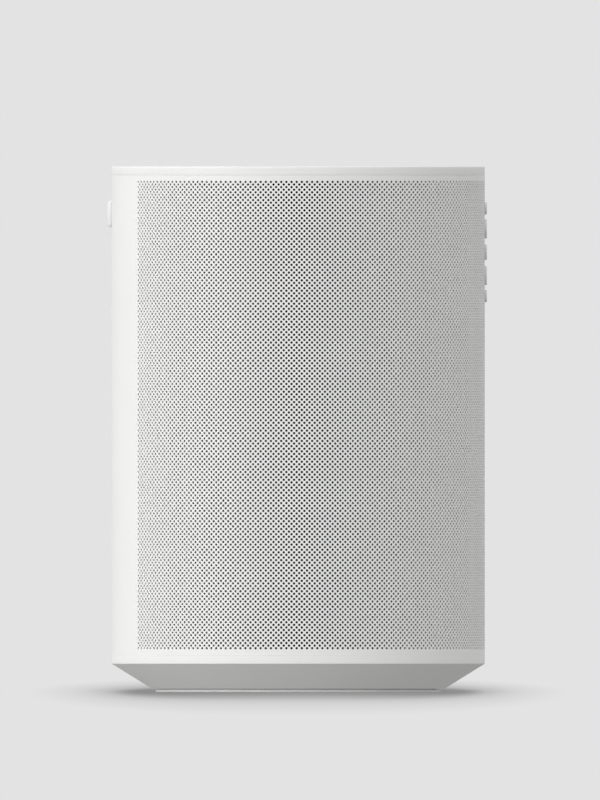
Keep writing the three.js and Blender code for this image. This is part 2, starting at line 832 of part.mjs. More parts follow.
// Main board with its heat sink, shield can, capacitors and antenna.
function buildMainBoard() {
  const chip = 13;
  const seat = mainBoardTop + fit;
  const board = join(
    block(
      -mainBoardLength / 2, mainBoardLength / 2,
      -mainBoardWidth / 2, mainBoardWidth / 2,
      mainBoardBottom, mainBoardTop,
    ),
    block(-38, -34, -20, 20, mainBoardTop - 0.2, mainBoardTop + 5),
    block(24 - chip / 2, 24 + chip / 2, 14 - chip / 2, 14 + chip / 2, mainBoardTop - 0.2, mainBoardTop + 1.2),
  );
  addPiece("main_board", board, paint.greenBoard);

  const sink = { lowX: -30, highX: 6, halfWidth: 15, base: 3, finHeight: 12, finWall: 1.5, fins: 7 };
  let heatSink = block(sink.lowX, sink.highX, -sink.halfWidth, sink.halfWidth, seat, seat + sink.base);
  const spread = 2 * sink.halfWidth - sink.finWall;
  for (let i = 0; i < sink.fins; i++) {
    const low = -sink.halfWidth + (spread * i) / (sink.fins - 1);
    const fin = block(sink.lowX, sink.highX, low, low + sink.finWall, seat + sink.base / 2, seat + sink.base + sink.finHeight);
    heatSink = join(heatSink, fin);
  }
  addPiece("heat_sink", heatSink, paint.aluminium);

  const can = { lowX: 12, highX: 36, lowY: 2, highY: 26, height: 3.6, wall: 0.4 };
  const canShell = cut(
    block(can.lowX, can.highX, can.lowY, can.highY, seat, seat + can.height),
    block(
      can.lowX + can.wall, can.highX - can.wall,
      can.lowY + can.wall, can.highY - can.wall,
      seat - 1, seat + can.height - can.wall,
    ),
  );
  addPiece("shield_can", canShell, paint.steel);

  const capacitor = { radius: 4, height: 11 };
  [[14, -8], [25, -8], [25, -19]].forEach(([x, y], index) => {
    addPiece(`capacitor_${index + 1}`, turned([
      [0, seat],
      [capacitor.radius, seat],
      [capacitor.radius, seat + 1],
      [capacitor.radius - 0.4, seat + 1.5],
      [capacitor.radius, seat + 2],
      [capacitor.radius, seat + capacitor.height - 0.4],
      [capacitor.radius - 0.4, seat + capacitor.height],
      [0, seat + capacitor.height],
    ], smallSegments).translate(x, y, 0), paint.aluminium);
  });

  const antenna = join(
    block(-5, 5, 24, 30, seat, seat + 0.4),
    block(-16, 16, 29.6, 30, seat, seat + 9),
    block(-16, 16, 26, 30, seat + 8.6, seat + 9),
  );
  addPiece("wifi_antenna", antenna, paint.steel);
}

// Five push buttons in a carrier, backed by a silicone mat and their board.
function buildButtons() {
  const holes = [];
  const domes = [];
  for (const { name, diameter, below } of buttonColumn) {
    const radius = diameter / 2;
    const z = bodyHeight - below;
    const bevel = 0.25;
    const cap = turned([
      [0, lipBack],
      [radius + buttonLip, lipBack],
      [radius + buttonLip, lipFront],
      [radius, lipFront],
      [radius, halfWidth + buttonProud - bevel],
      [radius - bevel, halfWidth + buttonProud],
      [0, halfWidth + buttonProud],
    ], buttonSegments);
    cap.rotateY(Math.PI / 2);
    cap.translate(0, 0, z);
    addPiece(name, cap, paint.whitePlastic);
    holes.push(rodAlongX(radius + fit, carrierBack - 1, carrierFront + 1, 0, z, buttonSegments));
    domes.push(rodAlongX(radius - 0.4, matBack + matThickness / 2, matFront, 0, z));
  }
  const half = carrierWidth / 2;
  const carrier = block(carrierBack, carrierFront, -half, half, columnBottom, columnTop);
  addPiece("button_carrier", cut(carrier, ...holes), paint.blackPlastic);

  const mat = block(matBack, matBack + matThickness, -half, half, columnBottom, columnTop);
  addPiece("button_mat", join(mat, ...domes), paint.greyRubber);

  const board = block(buttonBoardFront - boardThickness, buttonBoardFront, -half, half, columnBottom, columnTop);
  addPiece("button_board", board, paint.greenBoard);
}

// Slide switch: a long slim knob in a slot, a flange behind the sleeve and the switch body on its board.
function buildSwitch() {
  const flangeOuter = -(sleeveInner - fit);
  const flangeInner = flangeOuter + 1;
  const stemEnd = flangeInner + 2;
  const stemHalf = 1;
  const stemMiddle = (knobTop + knobBottom) / 2;
  const knobOuter = -(halfWidth + knobProud);
  const face = new THREE.Shape();
  const corner = 1;
  const bodyLow = knobOuter + corner;
  face.moveTo(flangeInner, knobBottom);
  face.lineTo(flangeInner, knobTop);
  face.lineTo(bodyLow, knobTop);
  face.absarc(bodyLow, knobTop - corner, corner, Math.PI / 2, Math.PI, false);
  face.lineTo(knobOuter, knobBottom + corner);
  face.absarc(bodyLow, knobBottom + corner, corner, Math.PI, 1.5 * Math.PI, false);
  face.closePath();
  const bar = new THREE.ExtrudeGeometry(face, { depth: knobWidth, bevelEnabled: false, curveSegments: 6 });
  bar.rotateX(Math.PI / 2);
  bar.translate(0, knobWidth / 2, 0);
  const flangeHalf = knobWidth / 2 + knobFlange;
  const knob = join(
    bar,
    block(flangeOuter, flangeInner, -flangeHalf, flangeHalf, knobBottom - knobFlange, knobTop + knobFlange),
    block(flangeInner - 0.2, stemEnd, -stemHalf, stemHalf, stemMiddle - stemHalf, stemMiddle + stemHalf),
  );
  addPiece("mic_switch_knob", knob, paint.whitePlastic);

  const bodyFront = flangeInner + fit;
  const bodyBack = bodyFront + switchDepth;
  const bodyLowZ = knobBottom - knobTravel - 1;
  const body = cut(
    block(bodyFront, bodyBack, -3, 3, bodyLowZ, knobTop),
    block(
      bodyFront - 1, stemEnd + fit,
      -stemHalf - fit, stemHalf + fit,
      stemMiddle - stemHalf - knobTravel - fit, stemMiddle + stemHalf + fit,
    ),
  );
  addPiece("mic_switch_body", body, paint.blackPlastic);

  const boardFront = bodyBack + fit;
  const half = switchBoardWidth / 2;
  const board = block(boardFront, boardFront + boardThickness, -half, half, bodyLowZ - 3, knobTop + 1.5);
  addPiece("mic_switch_board", board, paint.greenBoard);
}

// Power board behind the loudspeaker box, with the round jack, a choke and a filter capacitor.
function buildPower() {
  const boardLow = powerBoardBottom();
  const boardTop = boardLow + boardThickness;
  const boardHalf = 15;
  const boardBack = -insideRadius + 4;
  const boardFront = tubBack - fit - 1;
  addPiece("power_board", block(boardBack, boardFront, -boardHalf, boardHalf, boardLow, boardTop), paint.greenBoard);

  const noseEnd = -halfWidth + 0.1;
  const bodyBack = -(sleeveInner - 1.2);
  const half = jackBodySize / 2;
  const housing = join(
    block(bodyBack, bodyBack + jackLength, -half, half, jackHeight - half, jackHeight + half),
    rodAlongX(jackNoseRadius, noseEnd, bodyBack + 1, 0, jackHeight, 16),
  );
  const boreEnd = bodyBack + jackLength - 3;
  const jack = join(
    cut(housing, rodAlongX(jackBoreRadius, noseEnd - 1, boreEnd, 0, jackHeight)),
    rodAlongX(jackPinRadius, noseEnd + 1.5, boreEnd + 1, 0, jackHeight, 8),
  );
  addPiece("power_jack", jack, paint.blackPlastic);

  const seat = boardTop + fit;
  const partX = boardFront - 7;
  const choke = turned([
    [2.6, seat],
    [6, seat],
    [6.4, seat + 0.8],
    [6.4, seat + 5.2],
    [6, seat + 6],
    [2.6, seat + 6],
  ], smallSegments);
  addPiece("power_choke", choke.translate(partX, 7.5, 0), paint.copper);
  const filter = turned([
    [0, seat],
    [5, seat],
    [5, seat + 15.5],
    [4.5, seat + 16],
    [0, seat + 16],
  ], smallSegments);
  addPiece("filter_capacitor", filter.translate(partX, -7.5, 0), paint.aluminium);
}

buildFoot();
buildBase();
buildSleeve();
buildCloth();
buildLid();
buildMicBoard();
buildBox();
buildWoofer();
buildTweeter();
buildFrame();
buildMainBoard();
buildButtons();
buildSwitch();
buildPower();

export default speaker;
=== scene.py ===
import json
import math

import bmesh
import bpy
import numpy as np
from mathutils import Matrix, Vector
from mathutils.geometry import delaunay_2d_cdt


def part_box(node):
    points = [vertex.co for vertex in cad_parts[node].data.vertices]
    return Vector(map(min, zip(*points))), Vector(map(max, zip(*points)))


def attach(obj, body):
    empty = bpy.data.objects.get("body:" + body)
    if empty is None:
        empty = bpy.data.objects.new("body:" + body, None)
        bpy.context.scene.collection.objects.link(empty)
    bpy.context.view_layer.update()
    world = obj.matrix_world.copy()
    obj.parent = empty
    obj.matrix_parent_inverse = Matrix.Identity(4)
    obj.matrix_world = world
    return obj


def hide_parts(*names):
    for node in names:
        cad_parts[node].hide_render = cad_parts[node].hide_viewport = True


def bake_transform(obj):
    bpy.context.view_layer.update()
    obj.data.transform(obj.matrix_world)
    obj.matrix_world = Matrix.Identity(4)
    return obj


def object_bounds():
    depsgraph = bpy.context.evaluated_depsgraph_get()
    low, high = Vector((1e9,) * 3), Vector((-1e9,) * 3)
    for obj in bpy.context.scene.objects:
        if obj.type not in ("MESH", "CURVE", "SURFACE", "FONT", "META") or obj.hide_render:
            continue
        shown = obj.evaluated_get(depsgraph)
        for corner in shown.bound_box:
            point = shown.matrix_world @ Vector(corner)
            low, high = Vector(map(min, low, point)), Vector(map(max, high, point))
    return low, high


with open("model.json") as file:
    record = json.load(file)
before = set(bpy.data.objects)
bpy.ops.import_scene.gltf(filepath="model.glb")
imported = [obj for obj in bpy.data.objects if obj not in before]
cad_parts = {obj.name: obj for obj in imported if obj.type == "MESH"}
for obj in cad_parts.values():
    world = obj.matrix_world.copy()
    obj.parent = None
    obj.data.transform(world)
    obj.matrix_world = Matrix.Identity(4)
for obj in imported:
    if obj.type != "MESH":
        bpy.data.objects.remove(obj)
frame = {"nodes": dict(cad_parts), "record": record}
cadBounds = [list(corner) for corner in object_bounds()]
print("frame loaded:", len(frame["nodes"]), "parts")

scene = bpy.context.scene

# outline of the body: a slightly squared oval, read from the sleeve's box
sleeveLow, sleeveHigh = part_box("grille")
outline = {
    "power": 2.08,  # 2 would be a plain ellipse
    "halfWidth": (sleeveHigh.x - sleeveLow.x) / 2,
    "halfDepth": (sleeveHigh.y - sleeveLow.y) / 2,
    "samples": 8192,
}


def reach(direction):
    # distance to the outline for a half width of 1
    ratio = outline["halfDepth"] / outline["halfWidth"]
    alongX = np.abs(np.cos(direction)) ** outline["power"]
    alongY = np.abs(np.sin(direction) / ratio) ** outline["power"]
    return (alongX + alongY) ** (-1 / outline["power"])


def walkOutline(halfWidth):
    # direction against distance walked round the outline, 0 at the button side
    direction = np.linspace(-math.pi, math.pi, outline["samples"] + 1)
    x = halfWidth * reach(direction) * np.cos(direction)
    y = halfWidth * reach(direction) * np.sin(direction)
    walked = np.concatenate([[0], np.cumsum(np.hypot(np.diff(x), np.diff(y)))])
    return direction, walked - walked[outline["samples"] // 2]


sleeveDirection, sleeveWalk = walkOutline(outline["halfWidth"])
girth = sleeveWalk[-1] - sleeveWalk[0]


def onSleeve(along, height, depth):
    # a point walked round the sleeve's outer face, sunk inwards by depth
    turn = np.round(along / girth)
    direction = np.interp(along - turn * girth, sleeveWalk, sleeveDirection)
    step = 1e-4
    here, ahead, behind = (
        np.stack(
            [
                outline["halfWidth"] * reach(a) * np.cos(a),
                outline["halfWidth"] * reach(a) * np.sin(a),
            ],
            -1,
        )
        for a in (direction, direction + step, direction - step)
    )
    tangent = ahead - behind
    tangent /= np.linalg.norm(tangent, axis=-1, keepdims=True)
    outward = np.stack([tangent[..., 1], -tangent[..., 0]], -1)
    flat = here - outward * np.reshape(depth, (-1, 1))
    return np.column_stack([flat, height])


def placed(name, data):
    thing = bpy.data.objects.new(name, data)
    scene.collection.objects.link(thing)
    return thing


def finishPiece(name, mesh, body, slot, replaces=(), sharpAngle=35):
    # smooth faces with sharp corners, one finish, and the body that carries the piece
    mesh.shade_smooth()
    mesh.set_sharp_from_angle(angle=math.radians(sharpAngle))
    piece = placed(name, mesh)
    mesh.materials.clear()
    mesh.materials.append(materials[slotLooks[slot]])
    if replaces:
        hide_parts(*replaces)
    if body:
        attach(piece, body)
    return piece


# materials

def feed(tree, node, inputs):
    # an input is either a value or another node's output
    for key, value in inputs.items():
        if isinstance(value, bpy.types.NodeSocket):
            tree.links.new(value, node.inputs[key])
        else:
            node.inputs[key].default_value = value


def newNode(tree, kind, inputs, **settings):
    node = tree.nodes.new("ShaderNode" + kind)
    for key, value in settings.items():
        setattr(node, key, value)
    feed(tree, node, inputs)
    return node


def newMaterial(name, colour, roughness, metallic=0.0, specular=0.5):
    material = bpy.data.materials.new(name)
    material.use_nodes = True
    tree = material.node_tree
    shader = tree.nodes["Principled BSDF"]
    feed(tree, shader, {
        "Base Color": (*colour, 1), "Roughness": roughness, "Metallic": metallic,
        "Specular IOR Level": specular,
    })
    return material, tree, shader


def objectPlace(tree, stretch=(1, 1, 1)):
    place = newNode(tree, "TexCoord", {}).outputs["Object"]
    return newNode(tree, "Mapping", {"Scale": stretch, "Vector": place}).outputs["Vector"]


def noise(tree, place, scale, detail=3.0, rough=0.5):
    inputs = {"Scale": scale, "Detail": detail, "Roughness": rough, "Vector": place}
    return newNode(tree, "TexNoise", inputs).outputs["Fac"]


def threads(tree, place, direction, scale, distortion=0.0):
    # ridges side by side along one direction
    inputs = {"Scale": scale, "Distortion": distortion, "Vector": place}
    return newNode(tree, "TexWave", inputs, bands_direction=direction).outputs["Fac"]


def ramp(tree, value, *stops):
    colours = newNode(tree, "ValToRGB", {"Fac": value})
    band = colours.color_ramp
    while len(band.elements) < len(stops):
        band.elements.new(0.5)
    for element, (at, colour) in zip(band.elements, stops):
        element.position = at
        element.color = (*colour, 1)
    return colours.outputs["Color"]


def spread(tree, value, low, high):
    # stretches a 0 to 1 texture value over low to high
    return newNode(tree, "MapRange", {"To Min": low, "To Max": high, "Value": value}).outputs["Result"]


def bump(tree, shader, height, depth):
    relief = newNode(tree, "Bump", {"Strength": 1.0, "Distance": depth, "Height": height})
    feed(tree, shader, {"Normal": relief.outputs["Normal"]})


def shades(colour, swing):
    # a darker and a lighter tone of one colour
    return [tuple(min(1, c * (1 + k * swing)) for c in colour) for k in (-1, 1)]


def grainyMaterial(name, look):
    # moulded or painted surface: broad shade variation, fine grain in roughness and relief
    rough, swing = look["roughness"], look["roughSwing"]
    material, tree, shader = newMaterial(name, look["colour"], rough, look.get("metallic", 0))
    place = objectPlace(tree)
    dark, light = shades(look["colour"], look["swing"])
    broad = noise(tree, place, look["broadScale"], 4)
    grain = noise(tree, place, look["grainScale"], 2, 0.6)
    feed(tree, shader, {
        "Base Color": ramp(tree, broad, (0.3, dark), (0.7, light)),
        "Roughness": spread(tree, grain, rough - swing, rough + swing),
    })
    bump(tree, shader, grain, look["grainDepth"])
    return material


looks = {
    "powderCoat": {  # satin paint with a faint orange peel
        "colour": (0.83, 0.83, 0.82), "roughness": 0.42, "roughSwing": 0.05, "swing": 0.008,
        "broadScale": 35, "grainScale": 1900, "grainDepth": 6e-6,
    },
    "whiteMoulding": {  # spark-eroded matt plastic
        "colour": (0.82, 0.82, 0.81), "roughness": 0.5, "roughSwing": 0.06, "swing": 0.008,
        "broadScale": 45, "grainScale": 4200, "grainDepth": 5e-6,
    },
    "buttonMoulding": {
        "colour": (0.80, 0.80, 0.79), "roughness": 0.45, "roughSwing": 0.05, "swing": 0.01,
        "broadScale": 220, "grainScale": 5200, "grainDepth": 4e-6,
    },
    "footSilicone": {
        "colour": (0.70, 0.70, 0.69), "roughness": 0.75, "roughSwing": 0.08, "swing": 0.03,
        "broadScale": 160, "grainScale": 2600, "grainDepth": 1.2e-5,
    },
    "blackMoulding": {
        "colour": (0.028, 0.028, 0.031), "roughness": 0.55, "roughSwing": 0.08, "swing": 0.08,
        "broadScale": 90, "grainScale": 3200, "grainDepth": 1e-5,
    },
    "blackRubber": {
        "colour": (0.02, 0.02, 0.021), "roughness": 0.8, "roughSwing": 0.07, "swing": 0.1,
        "broadScale": 140, "grainScale": 2300, "grainDepth": 1.5e-5,
    },
    "ferrite": {  # pressed and fired, faintly speckled
        "colour": (0.06, 0.06, 0.065), "roughness": 0.65, "roughSwing": 0.12, "swing": 0.25,
        "broadScale": 900, "grainScale": 3800, "grainDepth": 1.4e-5,
    },
    "pulpCone": {
        "colour": (0.03, 0.03, 0.032), "roughness": 0.85, "roughSwing": 0.08, "swing": 0.35,
        "broadScale": 1500, "grainScale": 2600, "grainDepth": 3e-5,
    },
    "basketPaint": {
        "colour": (0.05, 0.05, 0.055), "roughness": 0.4, "roughSwing": 0.08, "swing": 0.06,
        "broadScale": 70, "grainScale": 1800, "grainDepth": 8e-6, "metallic": 0.2,
    },
    "keySilicone": {
        "colour": (0.45, 0.45, 0.46), "roughness": 0.6, "roughSwing": 0.06, "swing": 0.04,
        "broadScale": 200, "grainScale": 2400, "grainDepth": 8e-6,
    },
}


def brushedMetal(name, colour, roughness, stretch):
    # long fine scratches: noise squeezed along one direction
    material, tree, shader = newMaterial(name, colour, roughness, 1.0)
    scratches = noise(tree, objectPlace(tree, stretch), 600, 5, 0.7)
    dark, light = shades(colour, 0.1)
    feed(tree, shader, {
        "Base Color": ramp(tree, scratches, (0.35, dark), (0.65, light)),
        "Roughness": spread(tree, scratches, roughness - 0.1, roughness + 0.12),
    })
    bump(tree, shader, scratches, 6e-6)
    return material


def wovenCloth(name, colour, pitch, depth, sheen):
    # plain weave: two crossed sets of threads, each lifted by a wave
    material, tree, shader = newMaterial(name, colour, 0.95, 0, 0.1)
    place = objectPlace(tree)
    bands = 0.314 / pitch  # a wave texture of scale 1 repeats every 0.314
    warp, weft = (threads(tree, place, direction, bands, 0.4) for direction in ("X", "Z"))
    weave = newNode(tree, "Math", {0: warp, 1: weft}, operation="MULTIPLY").outputs["Value"]
    dark, light = shades(colour, 0.4)
    feed(tree, shader, {"Sheen Weight": sheen, "Base Color": ramp(tree, weave, (0, dark), (1, light))})
    bump(tree, shader, weave, depth)
    return material


def windingCopper(name):
    # close-wound enamelled wire
    material, tree, shader = newMaterial(name, (0.72, 0.33, 0.16), 0.3, 1.0)
    turns = threads(tree, objectPlace(tree), "X", 1200)
    copper = ramp(tree, turns, (0, (0.30, 0.12, 0.05)), (0.6, (0.78, 0.38, 0.2)))
    feed(tree, shader, {"Base Color": copper})
    bump(tree, shader, turns, 4e-5)
    return material


def circuitBoard(name):
    # green mask with paler copper runs and tinned pads
    material, tree, shader = newMaterial(name, (0.02, 0.15, 0.07), 0.35)
    place = objectPlace(tree)
    bricks = newNode(tree, "TexBrick", {
        "Scale": 260, "Mortar Size": 0.035, "Color1": (0.012, 0.115, 0.05, 1),
        "Color2": (0.02, 0.15, 0.07, 1), "Mortar": (0.05, 0.26, 0.12, 1), "Vector": place,
    })
    dots = newNode(tree, "TexVoronoi", {"Scale": 330, "Vector": place})
    pads = ramp(tree, dots.outputs["Distance"], (0.10, (1, 1, 1)), (0.13, (0, 0, 0)))
    inputs = {"Factor": pads, "A": bricks.outputs["Color"], "B": (0.62, 0.62, 0.6, 1)}
    board = newNode(tree, "Mix", inputs, data_type="RGBA")
    feed(tree, shader, {"Base Color": board.outputs["Result"], "Metallic": pads})
    bump(tree, shader, bricks.outputs["Fac"], 1.5e-5)
    return material


def clearPlastic(name):
    material, tree, shader = newMaterial(name, (0.85, 0.9, 0.93), 0.12)
    haze = spread(tree, noise(tree, objectPlace(tree), 900, 3), 0.08, 0.22)
    feed(tree, shader, {"Transmission Weight": 0.85, "IOR": 1.49, "Roughness": haze})
    return material


materials = {name: grainyMaterial(name, look) for name, look in looks.items()}
materials["zincSteel"] = brushedMetal("zincSteel", (0.56, 0.57, 0.59), 0.32, (1, 1, 6))
materials["tinPlate"] = brushedMetal("tinPlate", (0.68, 0.68, 0.69), 0.28, (6, 1, 1))
materials["extrudedAluminium"] = brushedMetal("extrudedAluminium", (0.62, 0.63, 0.65), 0.38, (1, 8, 1))
materials["canSleeve"] = brushedMetal("canSleeve", (0.5, 0.51, 0.53), 0.35, (1, 1, 9))
materials["acousticCloth"] = wovenCloth("acousticCloth", (0.004, 0.004, 0.0045), 0.00035, 6e-5, 0.03)
materials["spiderCloth"] = wovenCloth("spiderCloth", (0.60, 0.38, 0.13), 0.0006, 1e-4, 0.1)
materials["domeSilk"] = wovenCloth("domeSilk", (0.02, 0.02, 0.024), 0.0002, 3e-5, 0.3)
materials["windingCopper"] = windingCopper("windingCopper")
materials["circuitBoard"] = circuitBoard("circuitBoard")
materials["clearPlastic"] = clearPlastic("clearPlastic")
print("materials:", len(materials))

slotLooks = {
    "white_paint": "powderCoat", "white_plastic": "whiteMoulding", "button_plastic": "buttonMoulding",
    "foot_rubber": "footSilicone", "black_cloth": "acousticCloth", "black_plastic": "blackMoulding",
    "black_rubber": "blackRubber", "clear_plastic": "clearPlastic", "circuit_board": "circuitBoard",
    "pressed_steel": "basketPaint", "zinc_steel": "zincSteel", "ferrite": "ferrite",
    "paper_cone": "pulpCone", "copper": "windingCopper", "spider_cloth": "spiderCloth",
    "silk_dome": "domeSilk", "aluminium": "extrudedAluminium", "tin_plate": "tinPlate",
    "capacitor_can": "canSleeve", "button_silicone": "keySilicone",
}
nodeSlots = {row["node"]: row["material_slot"] for row in frame["record"]["subparts"]}
for node, part in frame["nodes"].items():
    part.data.materials.clear()
    part.data.materials.append(materials[slotLooks[nodeSlots[node]]])
print("finishes set on the inner parts")


# sheet metal and cloth, laid out flat and wrapped round the body

def boundaryEdges(faces):
    # directed edges that no neighbour walks the other way
    sides = faces.shape[1]
    edges = np.concatenate([faces[:, [k, (k + 1) % sides]] for k in range(sides)]).astype(np.int64)
    size = edges.max() + 1
    forward = edges[:, 0] * size + edges[:, 1]
    backward = edges[:, 1] * size + edges[:, 0]
    return edges[~np.isin(forward, backward)]


def wrappedSheet(name, flat, triangles, depth, thickness, slot, replaces):
    # a flat layout of triangles becomes a closed sheet with an outer face, an inner face and cut walls
    count = len(flat)
    along = np.tile(flat[:, 0], 2)
    height = np.tile(flat[:, 1], 2)
    sunk = np.concatenate([np.full(count, depth), np.full(count, depth + thickness)])
    points = onSleeve(along, height, sunk)
    rim = boundaryEdges(triangles)
    walls = np.stack([rim[:, 1], rim[:, 0], rim[:, 0] + count, rim[:, 1] + count], -1)
    inner = triangles[:, ::-1] + count
    corners = np.concatenate([triangles.ravel(), inner.ravel(), walls.ravel()])
    starts = np.concatenate([
        np.arange(2 * len(triangles)) * 3,
        6 * len(triangles) + np.arange(len(walls)) * 4,
    ])
    mesh = bpy.data.meshes.new(name)
    mesh.vertices.add(len(points))
    mesh.vertices.foreach_set("co", points.astype(np.float32).ravel())
    mesh.loops.add(len(corners))
    mesh.loops.foreach_set("vertex_index", corners.astype(np.int32))
    mesh.polygons.add(len(starts))
    mesh.polygons.foreach_set("loop_start", starts.astype(np.int32))
    mesh.update(calc_edges=True)
    unwrapSheet(mesh, flat, corners, count, len(triangles) * 3)
    return finishPiece(name, mesh, "root", slot, replaces, 50)


textureSquare = {"outerShare": 0.62, "gap": 0.02}


def unwrapSheet(mesh, flat, corners, count, outerCorners):
    # outer face over most of the texture square, inner face and walls in a strip beside it
    low = flat.min(0)
    place = (flat[corners % count] - low) / (flat.max(0) - low)
    share, gap = textureSquare["outerShare"], textureSquare["gap"]
    place[:outerCorners, 0] *= share
    place[outerCorners:, 0] = share + gap + place[outerCorners:, 0] * (1 - share - 2 * gap)
    place[:, 1] = gap / 2 + (1 - gap) * place[:, 1]
    layer = mesh.uv_layers.new(name="OFBake")
    layer.data.foreach_set("uv", place.astype(np.float32).ravel())


perforation = {
    "rows": 181,
    "firstRowBelowTop": 0.0050,  # from the top of the body to the first row's centre
    "rowPitch": 0.00083334,
    "holesRound": 223,  # hole pitches in one full turn
    "shift": -0.064,  # of a pitch, where the even rows start
    "lastColumn": 92,  # holes each side of the button line
    "holeRadius": 0.00041,
    "holeSides": 8,
    "landRound": 0.00022,  # least metal between a hole and an opening
    "patchMargin": 0.0002,
    "openingSides": 56,
    "panels": 8,
}
bodyTop = cadBounds[1][2]
pitch = girth / perforation["holesRound"]
rowPitch = perforation["rowPitch"]
topRowHeight = bodyTop - perforation["firstRowBelowTop"]
sleeveThickness = 0.0006
sleeveReachUp = 0.00027  # closes the gap up to the hairline under the lid
openingGap = 0.0003
insideCut = 0.00001  # the flats of a round opening lie this far inside its radius


def latticeAlong(halfSteps):
    return (halfSteps / 2 + perforation["shift"]) * pitch


def latticeHeight(row):
    return topRowHeight - rowPitch * row


def latticePoints(halfSteps, rows):
    return np.stack([latticeAlong(halfSteps), latticeHeight(rows)], -1)


def allCells():
    # every hole as half steps along and row number; even rows sit on even half steps
    last = 2 * perforation["lastColumn"]
    cells = []
    for row in range(perforation["rows"]):
        first = -last + (row % 2)
        cells.append(np.stack(np.broadcast_arrays(np.arange(first, last + 1, 2), row), -1))
    return np.concatenate(cells)


buttonNames = ["button_mute", "button_volume_up", "button_play", "button_volume_down", "button_source"]


def buttonFacts(name):
    # height and radius of the cap that stands proud of the sleeve
    part = frame["nodes"][name]
    points = np.array([v.co for v in part.data.vertices])
    proud = points[points[:, 0] > outline["halfWidth"]]
    middle = (points[:, 2].max() + points[:, 2].min()) / 2
    radius = (proud[:, 2].max() - proud[:, 2].min()) / 2
    return {"name": name, "height": float(middle), "radius": float(radius)}


buttons = [buttonFacts(name) for name in buttonNames]


def nearButton(points, margin):
    near = np.zeros(len(points), bool)
    for b in buttons:
        near |= np.hypot(points[:, 0], points[:, 1] - b["height"]) < b["radius"] + openingGap + margin
    return near


def diamonds(cells, way):
    # corners of the diamond round each hole; rows count downwards
    step = np.array([[1, 0], [0, -way], [-1, 0], [0, way]])
    corners = (cells[:, None, :] + step[None]).reshape(-1, 2)
    keys, index = np.unique(corners, axis=0, return_inverse=True)
    return keys, index.reshape(-1, 4)


def circle(along, height, radius, sides):
    angle = 2 * math.pi * np.arange(sides) / sides
    return np.stack([along + radius * np.cos(angle), height + radius * np.sin(angle)], -1)


def cellTriangles(cells):
    # twelve triangles from each diamond's corners to its hole
    sides = perforation["holeSides"]
    keys, index = diamonds(cells, 1)
    rim = circle(0, 0, perforation["holeRadius"], sides)
    holePoints = (latticePoints(*cells.T)[:, None, :] + rim[None]).reshape(-1, 2)
    holes = len(keys) + np.arange(len(cells) * sides).reshape(len(cells), sides)
    triangles = []
    for quarter in range(4):
        here, after = index[:, quarter], index[:, (quarter + 1) % 4]
        a, b, c = (holes[:, (2 * quarter + k) % sides] for k in range(3))
        triangles += [np.stack(t, -1) for t in ((here, b, a), (here, after, b), (after, c, b))]
    return np.concatenate([latticePoints(*keys.T), holePoints]), np.concatenate(triangles)


def levelLine(along, height):
    return np.stack([along, np.full(len(along), height)], -1)


def marginTriangles(firstHalfStep, lastHalfStep, rowEdge, tipStep, levels):
    # plain strip between the outermost row and the sheet's edge, over the columns of one panel
    halfSteps = np.arange(firstHalfStep - 1, lastHalfStep + 2)
    tips = np.where((halfSteps % 2) == (rowEdge % 2), rowEdge + tipStep, rowEdge)
    rings = [latticePoints(halfSteps, tips)]
    rings += [levelLine(latticeAlong(halfSteps), level) for level in levels]
    triangles = []
    n = len(halfSteps)
    for k in range(len(rings) - 1):
        a = k * n + np.arange(n - 1)
        quad = np.stack([a, a + 1, a + 1 + n, a + n], -1)
        if tipStep > 0:
            quad = quad[:, ::-1]
        triangles += [quad[:, [0, 1, 2]], quad[:, [0, 2, 3]]]
    return np.concatenate(rings), np.concatenate(triangles)


def welded(points, triangles, grain=1e-7):
    keys = np.round(points / grain).astype(np.int64)
    _, first, index = np.unique(keys, axis=0, return_index=True, return_inverse=True)
    return points[first], index.reshape(-1)[triangles]


def joined(parts):
    points, triangles, start = [], [], 0
    for p, t in parts:
        points.append(p)
        triangles.append(t + start)
        start += len(p)
    return welded(np.concatenate(points), np.concatenate(triangles))


def softened(corners, steps=5):
    # corners are (x, y, radius); each with a radius becomes an arc
    points = []
    for i, (x, y, radius) in enumerate(corners):
        here = np.array([x, y])
        if radius == 0:
            points.append(here)
            continue
        before = np.array(corners[i - 1][:2]) - here
        after = np.array(corners[(i + 1) % len(corners)][:2]) - here
        before /= np.linalg.norm(before)
        after /= np.linalg.norm(after)
        half = math.acos(np.clip(before @ after, -1, 1)) / 2
        toCentre = (before + after) / np.linalg.norm(before + after)
        centre = here + toCentre * radius / math.sin(half)
        ends = [here + side * radius / math.tan(half) - centre for side in (before, after)]
        start, stop = (math.atan2(e[1], e[0]) for e in ends)
        turn = (stop - start + math.pi) % (2 * math.pi) - math.pi
        for k in range(steps + 1):
            angle = start + turn * k / steps
            points.append(centre + radius * np.array([math.cos(angle), math.sin(angle)]))
    return points


def fillFlat(loose, edges, loops):
    # constrained triangulation of loose points, edge chains and closed loops
    points = [np.asarray(loose)]
    links = [np.asarray(edges).reshape(-1, 2)] if len(edges) else []
    start = len(loose)
    for loop in loops:
        n = len(loop)
        points.append(loop)
        links.append(start + np.stack([np.arange(n), (np.arange(n) + 1) % n], -1))
        start += n
    points = np.concatenate(points)
    scale = 1000.0
    found, _, faces, origins, _, _ = delaunay_2d_cdt(
        [Vector(p) for p in points * scale], [tuple(int(i) for i in e) for e in np.concatenate(links)],
        [], 0, 1e-6,
    )
    exact = np.array([points[o[0]] if o else np.array(v) / scale for v, o in zip(found, origins)])
    return exact, np.array([f for f in faces if len(f) == 3])


def centroids(points, triangles):
    return points[triangles].mean(1)


def onlyUsed(points, triangles):
    used = np.unique(triangles)
    renumber = np.full(len(points), -1)
    renumber[used] = np.arange(len(used))
    return points[used], renumber[triangles]


